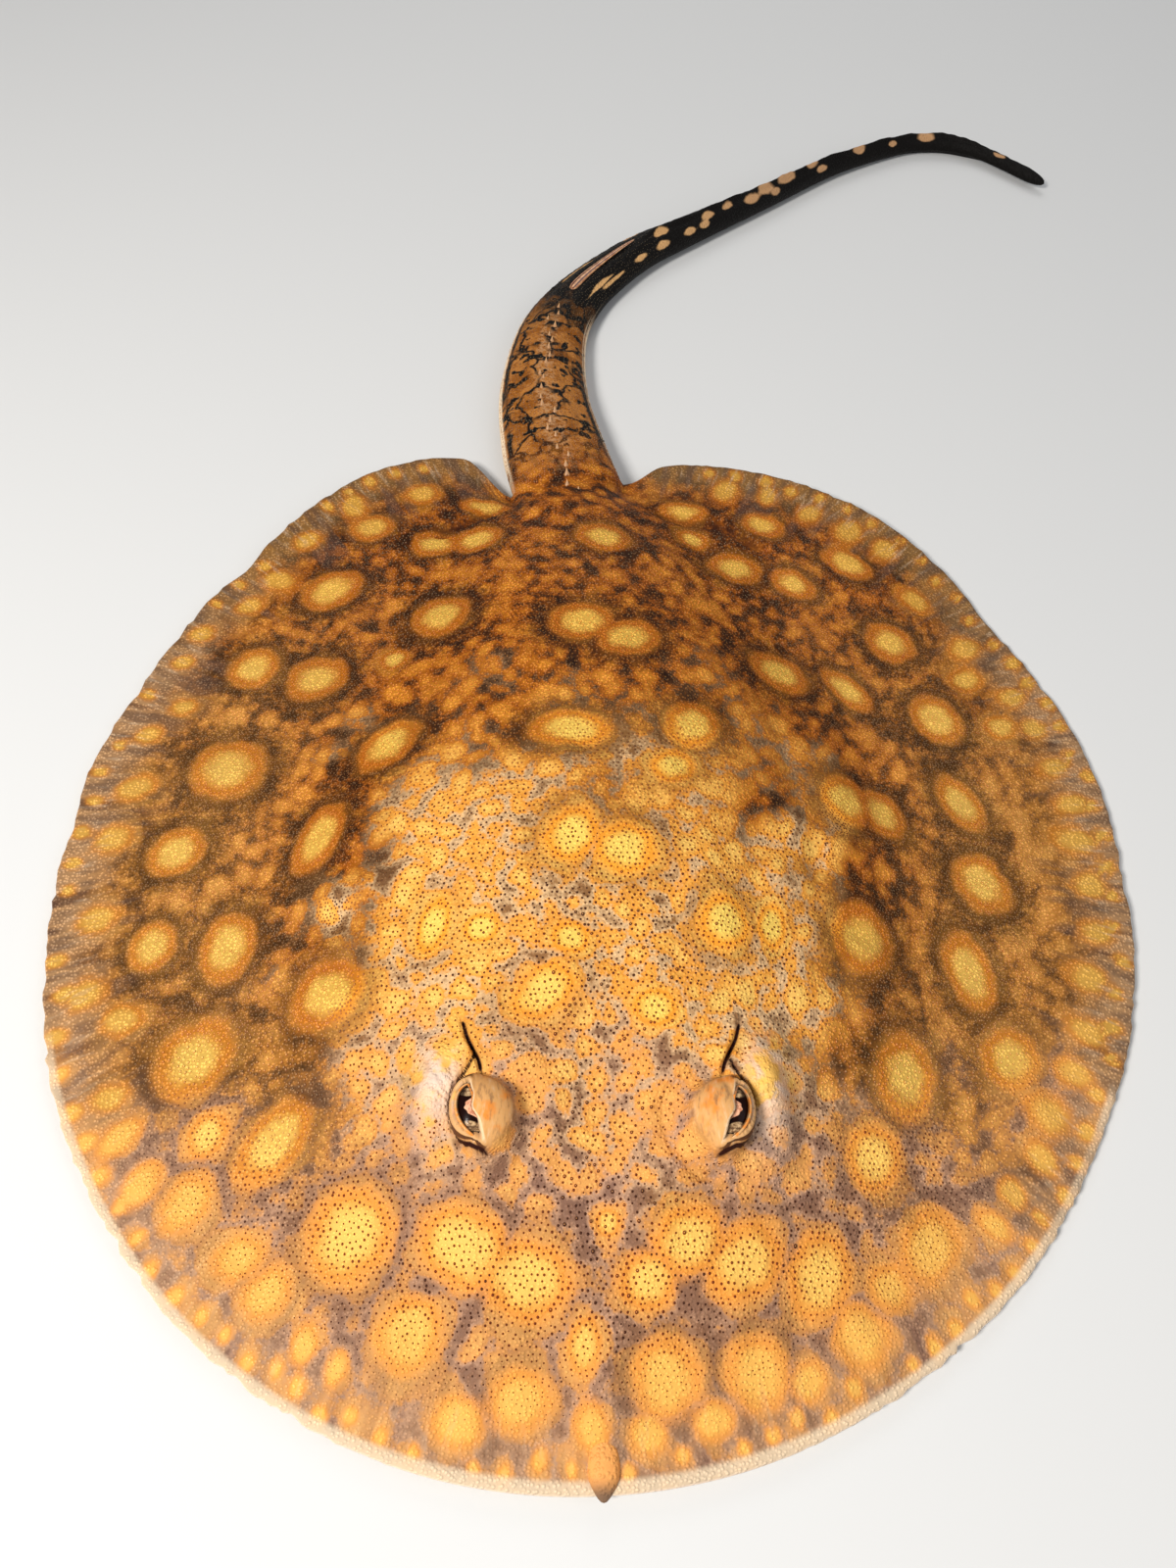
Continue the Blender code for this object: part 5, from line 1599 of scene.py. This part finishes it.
# Roots on the disc: place, share of the way to the margin, ring and column of the skin's grid, and whether
# each stands on the hump or in front
def discRoots():
    found = []
    for kind, seed in (("head", 61), ("fin", 62)):
        x, y = latticeRoots(denticles[kind + "Step"], seed)
        share, _ = finShare(x, y)
        ring, column, reach = gridPlace(x, y)
        hump = smoothStep(52 * mm, 44 * mm, np.abs(x - bodyAxis(y)))
        isHead = np.maximum(hump, smoothStep(-40 * mm, -62 * mm, y)) > 0.5
        keep = (isHead == (kind == "head")) & (share < 0.945) & (reach < 0.985)
        found.append(np.array([x, y, share, ring, column, isHead])[:, keep])
    *places, isHead = np.hstack(found)
    return *places, isHead > 0.5


# The skin's upward normals at places of its grid, from its slopes along the rings and the columns
def gridNormals(ring, column):
    step = 0.35
    toRing = onGrid(skinPoints, ring + step, column) - onGrid(skinPoints, ring - step, column)
    before = np.maximum(column - step, 0)
    toColumn = onGrid(skinPoints, ring, column + step) - onGrid(skinPoints, ring, before)
    normals = np.cross(toRing, toColumn) + [0, 0, 1e-12]
    normals /= np.linalg.norm(normals, axis=1, keepdims=True)
    return normals * np.where(normals[:, 2:] < 0, -1, 1)


# Denticles on the disc: none on lids, valves and in folds, smaller beside the eyes and at the margin, and
# some large ring-shaped ones between the eyes
def discDenticles():
    x, y, share, ring, column, isHead = discRoots()
    roots, normals = onGrid(skinPoints, ring, column), gridNormals(ring, column)
    names = ("lid", "valve", "crease", "creaseShade", "pocket")
    lid, valve, crease, dark, pocket = (onGrid(skinMarks[name], ring, column) for name in names)
    foldShade = dark * smoothStep(2.6, 0.8, crease)
    bare = np.maximum.reduce([smoothStep(0.0, 0.5, lid), pocket, foldShade * 1.3, smoothStep(0.25, 0.75, valve)])
    draw = np.random.default_rng(63)
    keep = (bare < 0.5) & (draw.uniform(0, 1, len(x)) > bare)
    crowded = bell(np.hypot(np.abs(roots[:, 0]) - 23 * mm, roots[:, 1] + 70 * mm), 15 * mm)
    size = draw.uniform(0.7, 1.25, len(x)) * (1 - 0.35 * crowded)
    size = size * (1 - 0.55 * smoothStep(0.78, 0.945, share))
    between = bell(np.hypot(roots[:, 0] / (17 * mm), (roots[:, 1] + 62 * mm) / (24 * mm)), 1.0)
    crater = (draw.uniform(0, 1, len(x)) < 0.30 * between) & isHead
    size = np.where(crater, size * 1.35, size)
    radius = np.where(isHead, denticles["headRadius"], denticles["finRadius"]) * size
    height = np.where(isHead, denticles["headHeight"], denticles["finHeight"]) * size
    chosen = np.flatnonzero(keep)
    chosen = chosen[np.argsort(roots[chosen, 1], kind="stable")]
    unwrapSize = 0.5 / (np.abs(grid["disk"][grid["index"]]).max() + 2 * mm)
    unwrap = 0.5 + unwrapSize * onGrid(grid["disk"], ring, column)
    # fold: the painted shade of the folds, carried onto the denticles there
    marks = {**planMarks(roots[:, 0], roots[:, 1]), "foldShade": foldShade * 0.6}
    for kind, mine in (("head", chosen[isHead[chosen]]), ("fin", chosen[~isHead[chosen]])):
        pieceCount = math.ceil(len(mine) / denticles["largest"][kind])
        for number, part in enumerate(np.array_split(mine, pieceCount)):
            denticlePiece(f"denticles_{kind}_{number + 1}", roots[part], normals[part], radius[part],
                          height[part], crater[part], {name: values[part] for name, values in marks.items()},
                          unwrap[part], kind == "fin")
        print(kind, "denticles:", len(mine), "in", pieceCount, "pieces")


discDenticles()


# Denticles on the upper side of the tail, finer outwards, on a lattice of length by angle
def tailDenticles():
    draw = np.random.default_rng(64)
    start, end, step = 20 * mm, 150 * mm, 1.0 * mm
    rows = []
    along = start
    while along < end:
        width = tailSize(np.array([along]))[0][0]
        count = max(4, int(width * 1.25 / (1.15 * mm)))
        angles = np.linspace(math.radians(8), math.radians(172), count)
        angles = angles + draw.uniform(-0.3, 0.3, count) * math.pi / count
        rows.append(np.stack([along + draw.uniform(-0.3, 0.3, count) * mm, angles], axis=1))
        along += step
    along, angle = np.vstack(rows).T
    roots = tailPlace(along, angle)
    tiny = 0.3 * mm
    toAlong = tailPlace(along + tiny, angle) - tailPlace(along - tiny, angle)
    toAngle = tailPlace(along, angle + 0.02) - tailPlace(along, angle - 0.02)
    normals = np.cross(toAlong, toAngle)
    normals /= np.linalg.norm(normals, axis=1, keepdims=True)
    normals *= np.sign(normals[:, 2:] + 1e-9)
    size = draw.uniform(0.7, 1.15, len(along)) * (1 - 0.4 * smoothStep(2 * start, end, along))
    marks = {**planMarks(roots[:, 0], roots[:, 1]), "tailAlong": along, "tailAngle": angle,
             "tailSpot": tailSpotField(along, angle)}
    unwrap = 0.03 + 0.94 * np.stack([(along - start) / (end - start), angle / math.pi * 0.25], axis=1)
    denticlePiece("denticles_tail", roots, normals, denticles["finRadius"] * size,
                  denticles["finHeight"] * size, np.zeros(len(along), bool), marks, unwrap)
    print("tail denticles:", len(along))


tailDenticles()


eyeball = {
    "rings": 40,
    "spokes": 64,
    "middle": 0.8 * mm,  # of the iris, ahead of the ball's
    "irisHalf": 4.05 * mm,
    "ringHalf": 3.1 * mm,
    "pupil": (2.25 * mm, 2.0 * mm),  # its half width, from the soft edge to full black
    "curtainLobes": 0.12 * mm,
}


# The eyeball's colours: a crescent pupil under a lobed curtain, in a mottled iris
def eyeMaterial():
    made, tree, shader, place = startMaterial("rayEye")
    forward, up = attributes(tree, "eyeForward", "eyeUp")
    mottle = noise(place, 1300, 3.0, 0.6)
    away = abs(forward - eyeball["middle"])
    iris = mixed(rise(mottle, 0.38, 0.62), shades["iris"], shades["irisPale"])
    iris = mixed(rise(abs(away - eyeball["irisHalf"]), 0.50 * mm, 0.25 * mm), iris, shades["irisEdge"])
    iris = mixed(rise(abs(away - eyeball["ringHalf"]), 0.20 * mm, 0.05 * mm) * 0.55, iris, shades["irisRing"])
    iris = mixed(rise(up, 0.35 * mm, -0.45 * mm) * 0.9, iris, shades["irisLow"])
    bow = (up - 0.6 * mm) * 700
    pupil = rise(away - bow * bow * (0.35 * mm), *eyeball["pupil"])
    colour = mixed(pupil, iris, shades["pupil"])
    lobes = maths("SINE", forward * 6200) * eyeball["curtainLobes"]
    ahead = (forward - 0.5 * mm) * 760
    curtain = rise(up - (ahead * ahead * (0.9 * mm) + (lobes + 0.05 * mm)), -0.06 * mm, 0.08 * mm)
    curtainSkin = mixed(rise(mottle, 0.4, 0.6), shades["curtain"], shades["curtainPale"])
    feed(shader, {"Base Color": mixed(curtain * pupil, colour, curtainSkin), "Roughness": 0.3,
                  "Specular IOR Level": 0.05, "Coat Weight": 0.05, "Coat Roughness": 0.04})
    return made


eyeSkin = eyeMaterial()


def buildEye(name, side):
    centre, radii, _, upward = eyeFrames[side]
    points, four, caps = ballGrid(eyeball["rings"], eyeball["spokes"])
    points = points * radii + centre
    made = meshObject(f"eyeball_{name}", points, [four, caps])
    offset = points - centre
    setMarks(made, {"eyeForward": -offset[:, 1], "eyeUp": offset @ upward})
    made.data.materials.append(eyeSkin)
    faceOutward(made)
    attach(made, "root")
    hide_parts(f"eye_{name}")


for eyeName, eyeSide in eyeSides.items():
    buildEye(eyeName, eyeSide)


lidRim = {"steps": 110, "sides": 10, "stand": 1.085, "lower": 0.34 * mm, "upper": 0.26 * mm}


# The lids' rims: pale below, dusky above, with painted shade on the side that faces the opening
def lidRimMaterial():
    made, tree, shader, place = startMaterial("rayLidRim")
    upper, around = attributes(tree, "upper", "round")
    grain = noise(place, 1100, 3.0, 0.6)
    pale = mixed(rise(grain, 0.40, 0.58), shades["lidRim"], shades["lidBlotch"])
    dusky = mixed(rise(grain, 0.40, 0.62), shades["lidBlotch"], shades["lidGrey"])
    colour = mixed(rise(around, 0.55, 0.95) * 0.75, mixed(upper, pale, dusky), shades["paintedShade"])
    feed(shader, {"Base Color": colour, "Roughness": 0.4, "Specular IOR Level": 0.25})
    return made


# The lids' free edges: a thin closed ring that follows the slit just over the eyeball, each place found
# where a line along the eye's look meets the ball a little enlarged, and thickest under the eye
def buildLidRim(name, side, material):
    centre, radii, outward, upward = eyeFrames[side]
    turn = 2 * math.pi * np.arange(lidRim["steps"]) / lidRim["steps"]
    lower, upper = slitLimits(np.cos(turn))
    isUpper = np.sin(turn) > 0
    base = np.where(isUpper, upper, lower)[:, None] * upward
    base[:, 1] = -(np.cos(turn) * eyes["slitHalf"] + eyes["slitAhead"])
    a = np.sum((outward / radii) ** 2)
    b = 2 * (base / radii ** 2) @ outward
    c = np.sum((base / radii) ** 2, axis=1) - lidRim["stand"] ** 2
    path = base + ((-b + np.sqrt(np.maximum(b ** 2 - 4 * a * c, 0))) / (2 * a))[:, None] * outward
    for _ in range(3):
        path = 0.5 * path + 0.25 * (np.roll(path, 1, axis=0) + np.roll(path, -1, axis=0))
    ahead = np.roll(path, -1, axis=0) - np.roll(path, 1, axis=0)
    ahead /= np.linalg.norm(ahead, axis=1, keepdims=True)
    out = path / radii ** 2
    out /= np.linalg.norm(out, axis=1, keepdims=True)
    across = np.cross(ahead, out)
    across *= np.sign(np.sum(across * (path - path.mean(axis=0)), axis=1))[:, None]
    thick = blendOf(lidRim["upper"], lidRim["lower"], smoothStep(0.2, -0.2, np.sin(turn)))
    thick = thick * (0.6 + 0.4 * np.abs(np.sin(turn)) ** 0.7)
    around = 2 * math.pi * np.arange(lidRim["sides"]) / lidRim["sides"]
    section = np.cos(around)[:, None] * across[:, None] + 0.9 * np.sin(around)[:, None] * out[:, None]
    points = (centre + path)[:, None] + thick[:, None, None] * section
    index = np.arange(points.shape[0] * points.shape[1]).reshape(points.shape[:2])
    made = meshObject(f"lid_rim_{name}", points.reshape(-1, 3), [quads(np.vstack([index, index[:1]]))])
    # round: 1 on the side of the rim that faces the opening, where its material paints shade
    setMarks(made, {"upper": np.repeat(isUpper.astype(float), lidRim["sides"]),
                    "round": np.tile(-np.cos(around), lidRim["steps"])})
    made.data.materials.append(material)
    faceOutward(made)
    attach(made, "root")


rimSkin = lidRimMaterial()
for eyeName, eyeSide in eyeSides.items():
    buildLidRim(eyeName, eyeSide, rimSkin)


sting = {"start": 108 * mm, "length": 33 * mm, "half": 1.6 * mm, "thick": 0.55 * mm, "teeth": 17,
         "rows": 86, "columns": 14, "rootLift": -0.2 * mm, "pointLift": 0.9 * mm}
thorns = {"start": 6 * mm, "step": 3.7 * mm, "count": 26, "radius": 0.8 * mm, "height": 1.0 * mm,
          "rings": 7, "sides": 12, "sunk": 0.35 * mm, "bend": 0.9 * mm, "point": 0.05 * mm}


def stingMaterial():
    made, tree, shader, place = startMaterial("raySting")
    across, = attributes(tree, "across")
    groove = rise(abs(abs(across) - 0.42), 0.26, 0.08)
    colour = mixed(rise(noise(place, 700, 3.0), 0.35, 0.65), shades["sting"], shades["stingPale"])
    feed(shader, {"Base Color": mixed(groove, colour, shades["stingGroove"]), "Roughness": 0.35})
    return made


# The sting: a flat blade that tapers to a point, with teeth leaning back along both edges and a
# groove each side of its ridge
def buildSting():
    rows, columns = sting["rows"], sting["columns"]
    t = np.linspace(0, 1, rows)
    around = 2 * math.pi * np.arange(columns) / columns
    along = sting["start"] + sting["length"] * t
    place, heading = tailFrame(along)
    _, height, lift = tailSize(along)
    taper = np.sqrt(np.clip(1 - np.abs(2 * t - 1) ** 10, 0.0004, 1)) * (1 - 0.74 * t)
    tooth = np.mod(t * sting["teeth"] * 2, 1)
    teeth = 1 + 0.16 * (tooth - 0.5) * smoothStep(0.3, 0.45, t)
    sideways = sting["half"] * (taper * teeth)[:, None] * np.cos(around)
    ridge = 0.30 * bell(np.cos(around), 0.28) - 0.30 * bell(np.abs(np.cos(around)) - 0.45, 0.16)
    upright = sting["thick"] * taper[:, None] * (np.sin(around) * (1 + ridge * (np.sin(around) > 0)))
    x = place[:, :1] + heading[:, 1:] * sideways
    y = place[:, 1:] - heading[:, :1] * sideways
    z = (height + lift + sting["rootLift"] + sting["pointLift"] * t)[:, None] + upright
    points = np.stack([x, y, z], axis=-1).reshape(-1, 3)
    ends = np.array([points[:columns].mean(axis=0), points[-columns:].mean(axis=0)])
    index = np.arange(rows * columns).reshape(rows, columns)
    caps = np.vstack([fan(len(points), index[0]), backFan(len(points) + 1, index[-1])])
    made = meshObject("sting", np.vstack([points, ends]), [quads(index), caps])
    setMarks(made, {"across": np.concatenate([np.tile(np.cos(around), rows), [0, 0]])})
    made.data.materials.append(stingMaterial())
    faceOutward(made)
    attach(made, "root")
    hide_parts("tail_sting")


buildSting()


def thornMaterial():
    made, tree, shader, _ = startMaterial("rayThorn")
    crown, = attributes(tree, "crown")
    colour = ramp(crown, [(0.0, shades["tailTan"]), (0.6, shades["tailPink"]), (1.0, shades["lidSkin"])])
    feed(shader, {"Base Color": colour, "Roughness": 0.35})
    return made


# Thorns along the midline: cones on a broad round base whose middle line bends back
def buildThorns():
    draw = np.random.default_rng(71)
    rings, sides, sunk, point = (thorns[name] for name in ("rings", "sides", "sunk", "point"))
    t = np.linspace(0, 1, rings)
    around = 2 * math.pi * np.arange(sides) / sides
    points, four, caps = [], [], []
    for number in range(thorns["count"]):
        along = thorns["start"] + thorns["step"] * (number + draw.uniform(-0.25, 0.25))
        root = tailPlace(np.array([along]), np.array([math.pi / 2 + draw.uniform(-0.12, 0.12)]))[0]
        heading = tailFrame(np.array([along]))[1][0]
        size = draw.uniform(0.7, 1.15)
        width = (thorns["radius"] * size * (1 - t) ** 1.25 + point)[:, None]
        bend = (thorns["bend"] * size * t ** 1.6)[:, None]
        x = root[0] + heading[0] * bend + width * np.cos(around)
        y = root[1] + heading[1] * bend + width * np.sin(around)
        z = root[2] - sunk + (thorns["height"] * size + sunk) * t
        cone = np.stack([x, y, z[:, None] + 0 * x], axis=-1)
        start = number * (rings * sides + 2)
        last = start + rings * sides
        index = np.arange(start, last).reshape(rings, sides)
        a, b = index[:-1], index[1:]
        four.append(np.stack([a, np.roll(a, -1, axis=1), np.roll(b, -1, axis=1), b], axis=-1).reshape(-1, 4))
        caps += [backFan(last, index[0]), fan(last + 1, index[-1])]
        points += [cone.reshape(-1, 3), [cone[0].mean(axis=0), cone[-1].mean(axis=0) + [0, 0, point]]]
    made = meshObject("thorns", np.vstack(points), [np.vstack(four), np.vstack(caps)])
    setMarks(made, {"crown": np.tile(np.append(np.repeat(t, sides), [0, 1]), thorns["count"])})
    made.data.materials.append(thornMaterial())
    faceOutward(made)
    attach(made, "root")


buildThorns()


stage = {
    "pitch": math.radians(56.8),  # the camera looks down by this much
    "yaw": math.radians(3.9),
    "roll": math.radians(4.2),
    "place": (-11.4 * mm, -136.2 * mm, 230.2 * mm),
    "lens": 27.0,
    "sensor": 36.0,
    "floorHalf": 3,
    "floorPaint": (0.66, 0.66, 0.65, 1),
    "sky": (0.93, 0.95, 1.0, 1),
    "skyStrength": 0.26,
    "lamps": {  # name: (place, aims at, size, power, colour)
        "key": ((-0.42, -0.36, 0.60), (0, -0.04, 0), 0.22, 7.7, (1.0, 0.97, 0.93)),
        "fill": ((0.7, -0.2, 0.6), (0, 0.05, 0), 0.7, 2.0, (0.95, 0.97, 1.0)),
        "back": ((0.1, 0.8, 0.6), (0, 0.1, 0), 0.5, 1.5, (1.0, 1.0, 1.0)),
    },
}


# The camera's axes: it looks along a heading, then rolls about it
def placeCamera(scene):
    pitch, yaw, roll = stage["pitch"], stage["yaw"], stage["roll"]
    forward = Vector((math.sin(yaw) * math.cos(pitch), math.cos(yaw) * math.cos(pitch), -math.sin(pitch)))
    level = Vector((math.cos(yaw), -math.sin(yaw), 0))
    over = level.cross(forward)
    right = math.cos(roll) * level + math.sin(roll) * over
    up = -math.sin(roll) * level + math.cos(roll) * over
    lens = bpy.data.cameras.new("camera")
    lens.lens, lens.sensor_width = stage["lens"], stage["sensor"]
    lens.clip_start, lens.clip_end = 0.01, 20
    camera = bpy.data.objects.new("camera", lens)
    turned = Matrix((right, up, -forward)).transposed().to_4x4()
    camera.matrix_world = Matrix.Translation(stage["place"]) @ turned
    scene.collection.objects.link(camera)
    scene.camera = camera


def layFloor():
    half = stage["floorHalf"]
    corners = [(-half, -half, 0), (half, -half, 0), (half, half, 0), (-half, half, 0)]
    floor = meshObject("floor", corners, [np.array([[0, 1, 2, 3]])])
    paint = bpy.data.materials.new("floorPaint")
    paint.use_nodes = True
    shader = paint.node_tree.nodes["Principled BSDF"]
    feed(shader.inputs, {"Base Color": stage["floorPaint"], "Roughness": 0.8})
    floor.data.materials.append(paint)


def lightStage(scene):
    world = bpy.data.worlds.new("studio")
    world.use_nodes = True
    background = world.node_tree.nodes["Background"]
    feed(background.inputs, {"Color": stage["sky"], "Strength": stage["skyStrength"]})
    scene.world = world
    scene.view_settings.view_transform = "Standard"
    for name, (place, aim, size, power, colour) in stage["lamps"].items():
        light = bpy.data.lights.new(name, "AREA")
        light.shape, light.size, light.energy, light.color = "DISK", size, power, colour
        lamp = bpy.data.objects.new(name, light)
        lamp.location = place
        lamp.rotation_euler = (Vector(aim) - Vector(place)).to_track_quat("-Z", "Y").to_euler()
        scene.collection.objects.link(lamp)


placeCamera(bpy.context.scene)
layFloor()
lightStage(bpy.context.scene)
